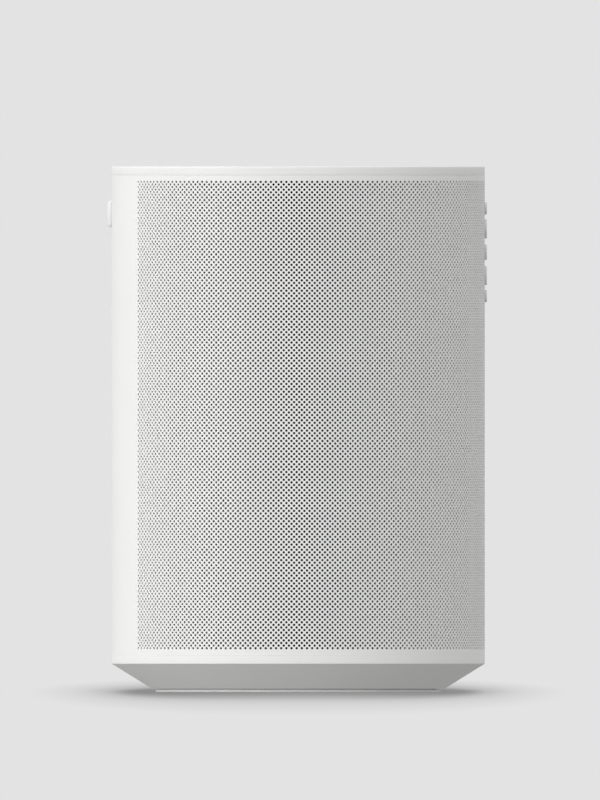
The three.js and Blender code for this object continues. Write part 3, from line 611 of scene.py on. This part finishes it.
def sleevePiece(name, points, triangles):
    wrappedSheet(name, points, triangles, 0, sleeveThickness, "white_paint", ["grille"])


sleeveBottom = sleeveLow.z
sleeveTop = sleeveHigh.z + sleeveReachUp
cells = allCells()
special = nearButton(latticePoints(*cells.T), pitch / 2 + perforation["patchMargin"])
lastRow = perforation["rows"] - 1


def buildPanel(number, firstColumn, endColumn):
    # whole columns of holes with their plain margins above and below
    first, end = 2 * firstColumn, 2 * endColumn
    inPanel = (cells[:, 0] >= first) & (cells[:, 0] < end) & ~special
    parts = [cellTriangles(cells[inPanel])]
    for row, outwards, level in ((0, -1, sleeveTop), (lastRow, 1, sleeveBottom)):
        between = (latticeHeight(row + outwards) + level) / 2
        parts.append(marginTriangles(first, end - 2, row, outwards, [between, level]))
    sleevePiece(f"grille_panel_{number + 1}", *joined(parts))


def buildButtonSurround():
    # the patch of sleeve round the buttons: holes where they fit, plain metal beside the openings
    patch = cells[special]
    hole = perforation["holeRadius"]
    keys, index = diamonds(patch, -1)
    loose = latticePoints(*keys.T)
    rim = boundaryEdges(index)
    inOpening = nearButton(loose, 0.0001)
    onRim = np.isin(np.arange(len(keys)), rim)
    kept = np.flatnonzero(~inOpening | onRim)
    renumber = np.full(len(keys), -1)
    renumber[kept] = np.arange(len(kept))
    places = latticePoints(*patch.T)
    places = places[~nearButton(places, hole + perforation["landRound"])]
    loops = [circle(a, h, hole, perforation["holeSides"]) for a, h in places]
    loops += [
        circle(0, b["height"], b["radius"] + openingGap, perforation["openingSides"]) for b in buttons
    ]
    points, triangles = fillFlat(loose[kept], renumber[rim], loops)
    middle = centroids(points, triangles)
    keep = ~nearButton(middle, -insideCut)
    for a, h in places:
        keep &= np.hypot(middle[:, 0] - a, middle[:, 1] - h) > 0.9 * hole
    # keep only what lies in the patch's own diamonds
    u = middle[:, 0] / pitch * 2 - 2 * perforation["shift"]
    v = (topRowHeight - middle[:, 1]) / rowPitch
    diamond = np.stack([np.round((u + v) / 2), np.round((u - v) / 2)], -1).astype(int)
    owned = np.stack([(patch[:, 0] + patch[:, 1]) // 2, (patch[:, 0] - patch[:, 1]) // 2], -1)
    owned = set(map(tuple, owned))
    keep &= np.array([tuple(d) in owned for d in diamond])
    sleevePiece("grille_button_surround", *onlyUsed(points, triangles[keep]))


knobLow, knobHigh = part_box("mic_switch_knob")
knobFlange = 0.0011
knobTravel = 0.0025
knobWidth = knobHigh.y - knobLow.y - 2 * knobFlange
jackLow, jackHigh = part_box("power_jack")
jackHeight = (jackLow.z + jackHigh.z) / 2
jackNoseRadius = 0.0046
backStrip = {"step": 0.0013, "slotCorner": 0.0006, "clearRound": 0.0004, "jackSides": 48}


def buildBackStrip():
    # the plain rear of the sleeve, with the switch slot and the jack's round hole
    step = backStrip["step"]
    firstStep = 2 * perforation["lastColumn"] + 1
    rows = np.arange(perforation["rows"])
    rightHalfSteps = np.where(rows % 2 == 0, firstStep, firstStep - 1)
    right = latticePoints(rightHalfSteps, rows)
    left = latticePoints(-rightHalfSteps, rows) + (girth, 0)
    middle = girth / 2
    knobHalf = knobWidth / 2 + openingGap
    slotLow = knobLow.z + knobFlange - knobTravel - openingGap
    slotHigh = knobHigh.z - knobFlange + openingGap
    corner = backStrip["slotCorner"]
    slot = np.array(softened([
        (middle + knobHalf, slotHigh, corner), (middle - knobHalf, slotHigh, corner),
        (middle - knobHalf, slotLow, corner), (middle + knobHalf, slotLow, corner),
    ], 4))
    jackHole = jackNoseRadius + openingGap
    low, high = sleeveBottom, sleeveTop
    bottomEdge = np.arange(right[-1, 0] + step, left[-1, 0] - step / 2, step)
    topEdge = np.arange(right[0, 0] + step, left[0, 0] - step / 2, step)[::-1]
    outlineLoop = np.concatenate([
        [[right[0, 0], high]], right, [[right[-1, 0], low]], levelLine(bottomEdge, low),
        [[left[-1, 0], low]], left[::-1], [[left[0, 0], high]], levelLine(topEdge, high),
    ])
    upward = np.arange(low + step, high - step / 2, step * 1.5)
    grid = np.stack(np.meshgrid(topEdge, upward), -1).reshape(-1, 2)
    margin = backStrip["clearRound"]
    nearSlot = np.abs(grid[:, 0] - middle) < knobHalf + margin
    nearSlot &= (grid[:, 1] > slotLow - margin) & (grid[:, 1] < slotHigh + margin)
    nearJack = np.hypot(grid[:, 0] - middle, grid[:, 1] - jackHeight) < jackHole + margin
    grid = grid[~nearSlot & ~nearJack]
    jackLoop = circle(middle, jackHeight, jackHole, backStrip["jackSides"])
    points, triangles = fillFlat(grid, [], [outlineLoop, slot, jackLoop])
    centre = centroids(points, triangles)
    inSlot = np.abs(centre[:, 0] - middle) < knobHalf
    inSlot &= (centre[:, 1] > slotLow) & (centre[:, 1] < slotHigh)
    beyond = np.abs(centre[:, 0] - middle) - (knobHalf - corner)
    over = np.maximum(centre[:, 1] - slotHigh, slotLow - centre[:, 1]) + corner
    inSlot &= ~((beyond > 0) & (over > 0) & (np.hypot(beyond, over) > corner))
    inJack = np.hypot(centre[:, 0] - middle, centre[:, 1] - jackHeight) < jackHole * 0.997
    fraction = (topRowHeight - centre[:, 1]) / rowPitch
    row = np.clip(np.floor(fraction), 0, lastRow - 1).astype(int)
    share = np.clip(fraction - row, 0, 1)
    edgeRight = right[row, 0] * (1 - share) + right[row + 1, 0] * share
    edgeLeft = left[row, 0] * (1 - share) + left[row + 1, 0] * share
    inside = (centre[:, 0] > edgeRight) & (centre[:, 0] < edgeLeft)
    sleevePiece("grille_back_strip", *onlyUsed(points, triangles[inside & ~inSlot & ~inJack]))


columns, panels = 2 * perforation["lastColumn"] + 1, perforation["panels"]
panelEdges = [round(-perforation["lastColumn"] + k * columns / panels) for k in range(panels + 1)]
for number, (first, last) in enumerate(zip(panelEdges, panelEdges[1:])):
    buildPanel(number, first, last)
buildButtonSurround()
buildBackStrip()
print("sleeve perforated:", len(cells), "holes")


# small solids

def meshFrom(points, faces):
    mesh = bpy.data.meshes.new("shape")
    mesh.from_pydata([tuple(map(float, p)) for p in points], [], [tuple(map(int, f)) for f in faces])
    mesh.update(calc_edges=True)
    return mesh


def turned(profile, segments, oval=False):
    # a closed outline of (radius, height) points swept round the upright axis
    profile = [tuple(map(float, p)) for p in profile]
    area = sum(a[0] * b[1] - b[0] * a[1] for a, b in zip(profile, profile[1:] + profile[:1]))
    if area < 0:
        profile.reverse()
    angle = 2 * math.pi * np.arange(segments) / segments
    stretch = reach(angle) if oval else np.ones(segments)
    ring = np.stack([stretch * np.cos(angle), stretch * np.sin(angle)], -1)
    points, rows = [], []
    for radius, height in profile:
        if radius < 1e-9:
            rows.append([len(points)] * segments)
            points.append((0, 0, height))
        else:
            rows.append(list(range(len(points), len(points) + segments)))
            points += [(radius * c[0], radius * c[1], height) for c in ring]
    faces = []
    for low, high in zip(rows, rows[1:] + rows[:1]):
        for j in range(segments):
            k = (j + 1) % segments
            corners = list(dict.fromkeys([low[j], low[k], high[k], high[j]]))
            if len(corners) > 2:
                faces.append(corners)
    return meshFrom(points, faces)


def alongX(mesh, height, reverse=False):
    # an upright turned shape laid along X, at a height on the middle plane
    for v in mesh.vertices:
        x, y, z = v.co
        v.co = (-z, y, x + height) if reverse else (z, y, height - x)
    mesh.update()
    return mesh


def shifted(mesh, x, y=0.0):
    for v in mesh.vertices:
        v.co.x += x
        v.co.y += y
    return mesh


def rod(radius, low, high, x=0.0, y=0.0, segments=48):
    return shifted(turned([(0, low), (radius, low), (radius, high), (0, high)], segments), x, y)


def stacked(levels, loops):
    # a closed solid skinned over loops in (y, z), one at each level of x, from low x to high x
    size = len(loops[0])
    points = [(x, p[0], p[1]) for x, loop in zip(levels, loops) for p in loop]
    faces = [tuple(range(size))[::-1], tuple(range((len(levels) - 1) * size, len(levels) * size))]
    for r in range(len(levels) - 1):
        for j in range(size):
            k = (j + 1) % size
            faces.append((r * size + j, r * size + k, (r + 1) * size + k, (r + 1) * size + j))
    return meshFrom(points, faces)


def blockCorners(low, high, inset):
    return [
        (low[1] + inset, low[2] + inset), (high[1] - inset, low[2] + inset),
        (high[1] - inset, high[2] - inset), (low[1] + inset, high[2] - inset),
    ]


def softBlock(low, high, soft, steps=4):
    # a block lying along X with rounded edges all round its outline and at its two ends
    rows = []
    for k in range(steps + 1):
        angle = math.pi / 2 * k / steps
        rows.append((soft * (1 - math.sin(angle)), soft * (1 - math.cos(angle))))
    levels = [low[0] + up for _, up in rows] + [high[0] - up for _, up in reversed(rows)]
    loops = []
    for inset, _ in rows + rows[::-1]:
        radius = max(soft * 1.2 - inset, soft * 0.2)
        loops.append(softened([(*c, radius) for c in blockCorners(low, high, inset)], steps))
    return stacked(levels, loops)


def shaped(mesh, *steps):
    # joins and cuts, each ("UNION" or "DIFFERENCE", mesh)
    base = placed("shaping", mesh)
    tools = []
    for operation, tool in steps:
        tools.append(placed("tool", tool))
        cut = base.modifiers.new("cut", "BOOLEAN")
        cut.operation = operation
        cut.solver = "EXACT"
        cut.object = tools[-1]
    graph = bpy.context.evaluated_depsgraph_get()
    result = bpy.data.meshes.new_from_object(base.evaluated_get(graph))
    for helper in (base, *tools):
        bpy.data.objects.remove(helper)
    return result


def mm(*values):
    return tuple(v / 1000 for v in values)


def scaledProfile(corners, steps=5):
    # corners of (radius, height, rounding) in millimetres
    return softened([mm(*c) for c in corners], steps)


def lathed(corners, segments, oval=False, steps=5):
    return turned(scaledProfile(corners, steps), segments, oval)


# lid

lid = {
    "segments": 288, "topEdge": 0.42, "seamEdge": 0.1, "seamGap": 0.02,
    "skirt": (56.1, 58.1), "skirtBottom": 160.3, "underside": 166.6,
    "micHole": 0.6, "micFlare": 0.15, "micCircle": 40, "lightHole": 1.6, "lightPlace": 28,
    "bossCircle": 46, "bossRadius": 2.5, "bossDrop": 1.3, "bossRoot": 0.5,
}
lightPipe = {"collar": 2.3, "collarHeight": 0.8, "stem": 1.3}


def buildLid():
    top = bodyTop * 1000
    seam = sleeveTop * 1000 + lid["seamGap"]
    edge = outline["halfWidth"] * 1000
    inner, outer = lid["skirt"]
    shell = lathed([
        (0, lid["underside"], 0),
        (inner, lid["underside"], 0.4),
        (inner, lid["skirtBottom"], 0.3),
        (outer, lid["skirtBottom"], 0.3),
        (outer, seam, 0),
        (edge, seam, lid["seamEdge"]),
        (edge, top, lid["topEdge"]),
        (edge * 0.6, top, 0),
        (0, top, 0),
    ], lid["segments"], True, 8)
    steps = []
    for k in range(3):
        angle = math.pi / 3 + k * 2 * math.pi / 3
        x, y = (lid["bossCircle"] * f(angle) / 1000 for f in (math.cos, math.sin))
        ends = mm(lid["underside"] - lid["bossDrop"], lid["underside"] + lid["bossRoot"])
        steps.append(("UNION", rod(lid["bossRadius"] / 1000, *ends, x, y)))
    below = lid["underside"] - 1
    hole = scaledProfile([
        (0, below, 0), (lid["micHole"], below, 0),
        (lid["micHole"], top - 0.1, 0), (lid["micHole"] + lid["micFlare"], top + 0.05, 0),
        (0, top + 0.05, 0),
    ])
    for degrees in (45, 135, 225, 315):
        angle = math.radians(degrees)
        x, y = (lid["micCircle"] * f(angle) / 1000 for f in (math.cos, math.sin))
        steps.append(("DIFFERENCE", shifted(turned(hole, 32), x, y)))
    steps.append(("DIFFERENCE", rod(*mm(lid["lightHole"], below, top + 1, lid["lightPlace"]))))
    finishPiece("top_cap_fine", shaped(shell, *steps), "root", "white_plastic", ["top_cap"], 30)
    low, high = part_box("light_pipe")
    collar, stem = lightPipe["collar"], lightPipe["stem"]
    bottom, tip = low.z * 1000, high.z * 1000
    shoulder = bottom + lightPipe["collarHeight"]
    pipe = lathed([
        (0, bottom, 0), (collar, bottom, 0.1), (collar, shoulder, 0.1), (stem, shoulder, 0),
        (stem, tip, 0.15), (0, tip, 0),
    ], 48)
    pipe = shifted(pipe, (low.x + high.x) / 2)
    finishPiece("light_pipe_fine", pipe, "root", "clear_plastic", ["light_pipe"])


buildLid()
print("lid done")


# base and foot

base = {
    "segments": 288, "toe": 47, "toeHeight": 1.0, "coneTop": 9.1, "seamGap": 0.01,
    "recessRadius": 44.6, "recessTop": 2.2, "floorTop": 4.4, "spigot": (57.4, 58.9), "spigotTop": 13.2,
    "wallFoot": 3, "ledge": 1.3,
    "screwSeat": 5.9, "screwHead": 3.1, "screwShank": 1.65, "shankFrom": 4,
    "bossRadius": 5, "bossFoot": 2.7, "bossTop": 9.5,
}
foot = {"rimHeight": 0.86, "neckInset": 1.6, "edge": 0.15, "rimEdge": 0.1}


def buildBase():
    edge = outline["halfWidth"] * 1000
    seam = sleeveBottom * 1000 - base["seamGap"]
    inner, outer = base["spigot"]
    recess = base["recessRadius"]
    shell = lathed([
        (0, base["recessTop"], 0),
        (recess, base["recessTop"], 0),
        (recess, base["toeHeight"], 0.1),
        (base["toe"], base["toeHeight"], 0.15),
        (edge, base["coneTop"], 0.12),
        (edge, seam, 0.06),
        (outer, seam, 0),
        (outer, base["spigotTop"], 0.3),
        (inner, base["spigotTop"], 0.3),
        (inner, base["coneTop"] + base["ledge"], 0.5),
        (recess + base["wallFoot"], base["floorTop"], 0.5),
        (0, base["floorTop"], 0),
    ], base["segments"], True, 6)
    joins, cuts = [], []
    for number in range(1, 5):
        low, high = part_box(f"base_screw_{number}")
        x, y = (low.x + high.x) / 2, (low.y + high.y) / 2
        joins.append(("UNION", rod(*mm(base["bossRadius"], base["bossFoot"], base["bossTop"]), x, y)))
        cuts.append(("DIFFERENCE", rod(*mm(base["screwHead"], 0, base["screwSeat"]), x, y)))
        shank = mm(base["screwShank"], base["shankFrom"], base["bossTop"] + 1)
        cuts.append(("DIFFERENCE", rod(*shank, x, y)))
    shell = shaped(shell, *joins, *cuts)
    finishPiece("base_shell_fine", shell, "root", "white_plastic", ["base_shell"], 30)
    low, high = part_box("foot_pad")
    radius, top = high.x * 1000, high.z * 1000
    neck, rim = radius - foot["neckInset"], foot["rimHeight"]
    disc = lathed([
        (0, 0, 0), (radius, 0, foot["edge"]), (radius, rim, foot["rimEdge"]),
        (neck, rim, 0), (neck, top, foot["edge"]), (0, top, 0),
    ], base["segments"], True)
    finishPiece("foot_pad_fine", disc, "root", "foot_rubber", ["foot_pad"])


buildBase()
print("base done")


# cloth behind the sleeve

cloth = {
    "depth": 0.0011, "thickness": 0.0005, "openingHalfAngle": 27, "step": 0.002,
    "holeGap": 0.0003, "clearRound": 0.0006, "holeSides": 40,
}


def buildCloth():
    low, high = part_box("acoustic_liner")
    half = float(np.interp(math.radians(180 - cloth["openingHalfAngle"]), sleeveDirection, sleeveWalk))
    across = np.linspace(-half, half, round(2 * half / cloth["step"]) + 1)
    upward = np.linspace(low.z, high.z, round((high.z - low.z) / (2 * cloth["step"])) + 1)
    grid = np.stack(np.meshgrid(across[1:-1], upward[1:-1]), -1).reshape(-1, 2)
    grid = grid[~nearButton(grid, cloth["clearRound"])]
    sides = [
        levelLine(across, low.z), levelLine(upward, half)[1:, ::-1],
        levelLine(across[::-1], high.z)[1:], levelLine(upward[::-1], -half)[1:-1, ::-1],
    ]
    holes = [circle(0, b["height"], b["radius"] + cloth["holeGap"], cloth["holeSides"]) for b in buttons]
    points, triangles = fillFlat(grid, [], [np.concatenate(sides), *holes])
    middle = centroids(points, triangles)
    inHole = np.zeros(len(middle), bool)
    for b in buttons:
        radius = (b["radius"] + cloth["holeGap"]) * 0.996
        inHole |= np.hypot(middle[:, 0], middle[:, 1] - b["height"]) < radius
    points, triangles = onlyUsed(points, triangles[~inHole])
    piece = wrappedSheet(
        "acoustic_cloth", points, triangles, cloth["depth"], cloth["thickness"],
        "black_cloth", ["acoustic_liner"],
    )


buildCloth()


# push buttons

button = {
    "segments": 72, "edge": 0.28, "dish": 0.12, "dishShare": 0.8, "lip": 0.5, "lipThickness": 0.8,
    "lightRadius": 0.42, "lightAbove": 1.05, "lightProud": 0.03, "lightSunk": 0.5,
}


def buildButton(facts):
    low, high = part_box(facts["name"])
    radius, back, front = facts["radius"] * 1000, low.x * 1000, high.x * 1000
    lip, lipFront = radius + button["lip"], back + button["lipThickness"]
    profile = scaledProfile([
        (0, back, 0), (lip, back, 0.1), (lip, lipFront, 0.1),
        (radius, lipFront, 0), (radius, front, button["edge"]),
        (radius * button["dishShare"], front, 0),
    ])
    for share in (0.65, 0.5, 0.35, 0.2, 0):
        sink = button["dish"] * (1 - (share / button["dishShare"]) ** 2)
        profile.append(np.array(mm(radius * share, front - sink)))
    cap = alongX(turned(profile, button["segments"]), facts["height"])
    finishPiece(facts["name"] + "_cap", cap, facts["name"], "button_plastic", [facts["name"]], 40)


for facts in buttons:
    buildButton(facts)


def buildButtonLight():
    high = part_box("button_play")[1]
    middle = next(b["height"] for b in buttons if b["name"] == "button_play")
    radius = button["lightRadius"]
    back, front = high.x * 1000 - button["lightSunk"], high.x * 1000 + button["lightProud"]
    lens = lathed([(0, back, 0), (radius, back, 0), (radius, front, 0.05), (0, front, 0)], 32)
    lens = alongX(lens, middle + button["lightAbove"] / 1000)
    finishPiece("button_play_light", lens, "button_play", "black_plastic")


buildButtonLight()
print("buttons done")


# slide switch knob

knob = {
    "face": 1.0, "side": 0.45, "corner": 0.5, "steps": 6, "stem": 1.0,
    "flangeFrom": -58.9, "flangeTo": -57.9, "flangeEdge": 0.2, "stemEdge": 0.1, "overlap": 0.2,
}


def knobLoop(half, bottom, top):
    corners = [(half, bottom), (half, top), (-half, top), (-half, bottom)]
    return softened([mm(*c, knob["corner"]) for c in corners], 4)


def buildKnob():
    flange = knobFlange * 1000
    half = knobWidth * 500
    bottom, top = knobLow.z * 1000 + flange, knobHigh.z * 1000 - flange
    levels, loops = [], []
    for k in range(knob["steps"], -1, -1):  # from the rounded face inwards
        angle = math.pi / 2 * k / knob["steps"]
        share = 1 - math.cos(angle)
        insetZ, insetY = knob["face"] * share, knob["side"] * share
        levels.append(knobLow.x + knob["face"] * (1 - math.sin(angle)) / 1000)
        loops.append(knobLoop(half - insetY, bottom + insetZ, top - insetZ))
    cap = stacked([*levels, knob["flangeTo"] / 1000], [*loops, loops[-1]])
    plate = softBlock(
        mm(knob["flangeFrom"], -half - flange, bottom - flange),
        mm(knob["flangeTo"], half + flange, top + flange), knob["flangeEdge"] / 1000,
    )
    middle = (bottom + top) / 2
    stem = softBlock(
        mm(knob["flangeTo"] - knob["overlap"], -knob["stem"], middle - knob["stem"]),
        mm(knobHigh.x * 1000, knob["stem"], middle + knob["stem"]), knob["stemEdge"] / 1000,
    )
    slider = shaped(cap, ("UNION", plate), ("UNION", stem))
    finishPiece("mic_switch_slider", slider, "mic_switch_knob", "button_plastic", ["mic_switch_knob"], 40)


buildKnob()
print("switch done")


# power inlet

jack = {
    "rim": 0.35, "setBack": 0.4, "bore": 2.8, "boreFloor": 3, "flare": 0.5,
    "pin": 1.0, "pinSetBack": 1.5, "pinTip": 0.5,
    "body": 10.4, "bodyFrom": 58.0, "bodyLength": 15, "bodyEdge": 0.4,
}


def jackTurned(corners, segments):
    return alongX(lathed(corners, segments), jackHeight, True)


def buildJack():
    front, back = -jackLow.x * 1000 - jack["setBack"], jack["bodyFrom"]
    inner = back - jack["bodyLength"]
    floor, tip = inner + jack["boreFloor"], front - jack["pinSetBack"]
    nose, bore, pin = jackNoseRadius * 1000, jack["bore"], jack["pin"]
    half, middle = jack["body"] / 2, jackHeight * 1000
    corners = mm(-back, -half, middle - half), mm(-inner, half, middle + half)
    shell = shaped(
        softBlock(*corners, jack["bodyEdge"] / 1000),
        ("UNION", jackTurned([
            (0, back - 1, 0), (nose, back - 1, 0), (nose, front, jack["rim"]), (0, front, 0),
        ], 64)),
        ("DIFFERENCE", jackTurned([
            (0, floor, 0), (bore, floor, 0), (bore, front - 0.4, 0),
            (bore + jack["flare"], front + 0.1, 0), (0, front + 0.1, 0),
        ], 64)),
        ("UNION", jackTurned([
            (0, floor - 1, 0), (pin, floor - 1, 0), (pin, tip, jack["pinTip"]), (0, tip, 0),
        ], 32)),
    )
    finishPiece("power_jack_fine", shell, "root", "black_plastic", ["power_jack"], 30)


buildJack()
print("power inlet done")


# rubber surround and cloth spider of the woofer, cut into sectors

softRings = {
    "woofer_surround": {
        "slot": "black_rubber", "wall": 0.6, "steps": 18,
        "flat": (24.0, 33.7), "level": 1.6, "roll": 3.0, "rollCentre": 29.75, "flex": (33.0, 26.4),
    },
    "woofer_spider": {
        "slot": "spider_cloth", "wall": 0.45, "steps": 48,
        "flat": (12.8, 24.2), "level": -9.2, "waves": 3.5, "waveHeight": 0.6, "flex": (24.0, 13.4),
    },
}
ringSectors = {"count": 12, "cuts": 8}


def ringCurve(ring):
    # radius and level along the underside, from the inner edge to the outer
    inner, outer = ring["flat"]
    if "waves" in ring:
        shares = np.linspace(0, 1, ring["steps"] + 1)
        rise = ring["waveHeight"] * np.sin(shares * math.pi)
        rise = rise * np.sin(shares * ring["waves"] * 2 * math.pi)
        return [(inner + (outer - inner) * t, ring["level"] + r) for t, r in zip(shares, rise)]
    angles = np.linspace(math.pi, 0, ring["steps"] + 1)
    arch = [
        (ring["rollCentre"] + ring["roll"] * math.cos(a), ring["level"] + ring["roll"] * math.sin(a))
        for a in angles
    ]
    return [(inner, ring["level"]), *arch, (outer, ring["level"])]


def buildSoftRing(name, ring, face, middle):
    under = np.array(ringCurve(ring))
    away = np.gradient(under, axis=0)
    away = np.stack([-away[:, 1], away[:, 0]], -1)
    away /= np.linalg.norm(away, axis=1, keepdims=True)
    over = under + away * ring["wall"]
    section = np.concatenate([under, over[::-1]]) / 1000
    n, half = len(section), len(under)
    for number in range(ringSectors["count"]):
        span = 2 * math.pi / ringSectors["count"]
        angles = number * span + span * np.arange(ringSectors["cuts"] + 1) / ringSectors["cuts"]
        points = [
            (face + level, radius * math.cos(a), middle + radius * math.sin(a))
            for a in angles for radius, level in section
        ]
        faces = [
            (r * n + j, r * n + (j + 1) % n, (r + 1) * n + (j + 1) % n, (r + 1) * n + j)
            for r in range(ringSectors["cuts"]) for j in range(n)
        ]
        for start in (0, ringSectors["cuts"] * n):
            faces += [
                (start + j, start + j + 1, start + n - 2 - j, start + n - 1 - j) for j in range(half - 1)
            ]
        mesh = meshFrom(points, faces)
        work = bmesh.new()
        work.from_mesh(mesh)
        bmesh.ops.recalc_face_normals(work, faces=work.faces)
        work.to_mesh(mesh)
        work.free()
        piece = finishPiece(f"{name}_{number + 1}", mesh, None, ring["slot"], [name], 50)
        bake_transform(piece)


def buildSoftRings():
    low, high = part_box("woofer_surround")
    face = low.x - softRings["woofer_surround"]["level"] / 1000
    for name, ring in softRings.items():
        buildSoftRing(name, ring, face, (low.z + high.z) / 2)


buildSoftRings()
print("woofer surround and spider done")


# floor, light and camera

stageLook = {
    "white": 0.768,  # the pale background
    "plinth": 0.0462,  # half width of the level patch under the foot
    "frontSlope": 0.25, "frontDrop": 0.0135, "backSlope": 0.18, "backRise": 0.006,
    "size": 12.0, "sectors": 240, "shadowReach": 0.03, "floorGlow": 0.34,
    # painted contact shadow: how open the floor is at a point, and the darker tone painted there
    "paintedShadowTones": ((0.0, 0.24), (0.25, 0.29), (0.4, 0.4), (0.55, 0.5), (0.75, 0.66), (1.0, 0.768)),
}


def twoWays(tree, output, seen, falling):
    # one shader for what the camera sees, the other for the light that reaches the object
    ray = newNode(tree, "LightPath", {}).outputs["Is Camera Ray"]
    both = newNode(tree, "MixShader", {"Fac": ray, 1: falling.outputs[0], 2: seen.outputs[0]})
    feed(tree, tree.nodes[output], {"Surface": both.outputs["Shader"]})


def floorHeight(x, y):
    # level under the foot, easing down towards the front and a little up behind
    out = math.hypot(x, y)
    if out < stageLook["plinth"]:
        return 0.0
    front = y < 0
    most = stageLook["frontDrop" if front else "backRise"]
    slope = stageLook["frontSlope" if front else "backSlope"]
    return most * math.tanh(slope * (out - stageLook["plinth"]) / most) * y / out


def buildFloor():
    rings = [0.0, 0.02, stageLook["plinth"] - 0.0002, stageLook["plinth"]]
    while rings[-1] < stageLook["size"]:
        rings.append(stageLook["plinth"] + (rings[-1] - stageLook["plinth"]) * 1.12 + 0.0008)
    sectors = stageLook["sectors"]
    points, faces = [(0.0, 0.0, 0.0)], []
    for radius in rings[1:]:
        for k in range(sectors):
            angle = 2 * math.pi * k / sectors
            x, y = radius * math.cos(angle), radius * math.sin(angle)
            points.append((x, y, floorHeight(x, y)))
    for k in range(sectors):
        faces.append((0, 1 + k, 1 + (k + 1) % sectors))
    for r in range(len(rings) - 2):
        for k in range(sectors):
            here, after = 1 + r * sectors + k, 1 + r * sectors + (k + 1) % sectors
            faces.append((here, here + sectors, after + sectors, after))
    mesh = meshFrom(points, faces)
    mesh.shade_smooth()
    floor = placed("floor", mesh)
    material = bpy.data.materials.new("paleFloorPaintedShadow")
    material.use_nodes = True
    tree = material.node_tree
    tree.nodes.remove(tree.nodes["Principled BSDF"])
    # the floor the camera sees glows with a tone set by ambient occlusion, a painted contact shadow round
    # the object
    near = newNode(tree, "AmbientOcclusion", {"Distance": stageLook["shadowReach"]}, samples=24)
    paintedShadowTones = [(at, (v, v, v)) for at, v in stageLook["paintedShadowTones"]]
    seen = newNode(tree, "Emission", {"Color": ramp(tree, near.outputs["AO"], *paintedShadowTones)})
    twoWays(tree, "Material Output", seen, newNode(tree, "Emission", {"Strength": stageLook["floorGlow"]}))
    mesh.materials.append(material)


studio = {
    "ambient": 0.834,
    # soft lobes of light: degrees round from the front towards the left, and strength
    "lobes": ((45, 3.6), (120, 0.85)),
    "lift": 12,  # degrees above the horizon
    "focus": 10,
    "topWatts": 0.2, "topSize": 0.8, "topHeight": 1.3,
}


def buildWorld():
    world = bpy.data.worlds.new("studio")
    scene.world = world
    world.use_nodes = True
    tree = world.node_tree
    seen, white = tree.nodes["Background"], stageLook["white"]
    feed(tree, seen, {"Color": (white, white, white, 1)})
    place = newNode(tree, "TexCoord", {}).outputs["Generated"]
    total = studio["ambient"]
    lift = math.radians(studio["lift"])
    for around, strength in studio["lobes"]:
        turn = math.radians(around)
        towards = (-math.sin(turn) * math.cos(lift), -math.cos(turn) * math.cos(lift), math.sin(lift))
        facing = newNode(tree, "VectorMath", {0: place, 1: towards}, operation="DOT_PRODUCT")
        value = facing.outputs["Value"]
        chain = (("MAXIMUM", 0), ("POWER", studio["focus"]), ("MULTIPLY", strength), ("ADD", total))
        for operation, amount in chain:
            value = newNode(tree, "Math", {0: value, 1: amount}, operation=operation).outputs["Value"]
        total = value
    lit = newNode(tree, "Background", {"Color": (1, 1, 1, 1), "Strength": total})
    twoWays(tree, "World Output", seen, lit)


def buildTopLight():
    light = bpy.data.lights.new("topSoftbox", "AREA")
    light.size = studio["topSize"]
    light.energy = studio["topWatts"]
    placed("topSoftbox", light).location = (0, 0, studio["topHeight"])


cameraLook = {"place": (0.00055, -0.6, 0.09394), "tallSide": 0.25738}


def buildCamera():
    data = bpy.data.cameras.new("camera")
    data.type = "ORTHO"
    data.ortho_scale = cameraLook["tallSide"]
    data.clip_start, data.clip_end = 0.01, 20
    camera = placed("camera", data)
    camera.location = cameraLook["place"]
    camera.rotation_euler = (math.pi / 2, 0, 0)
    scene.camera = camera


buildFloor()
buildWorld()
buildTopLight()
buildCamera()
scene.view_settings.view_transform = "Standard"
print("stage ready")
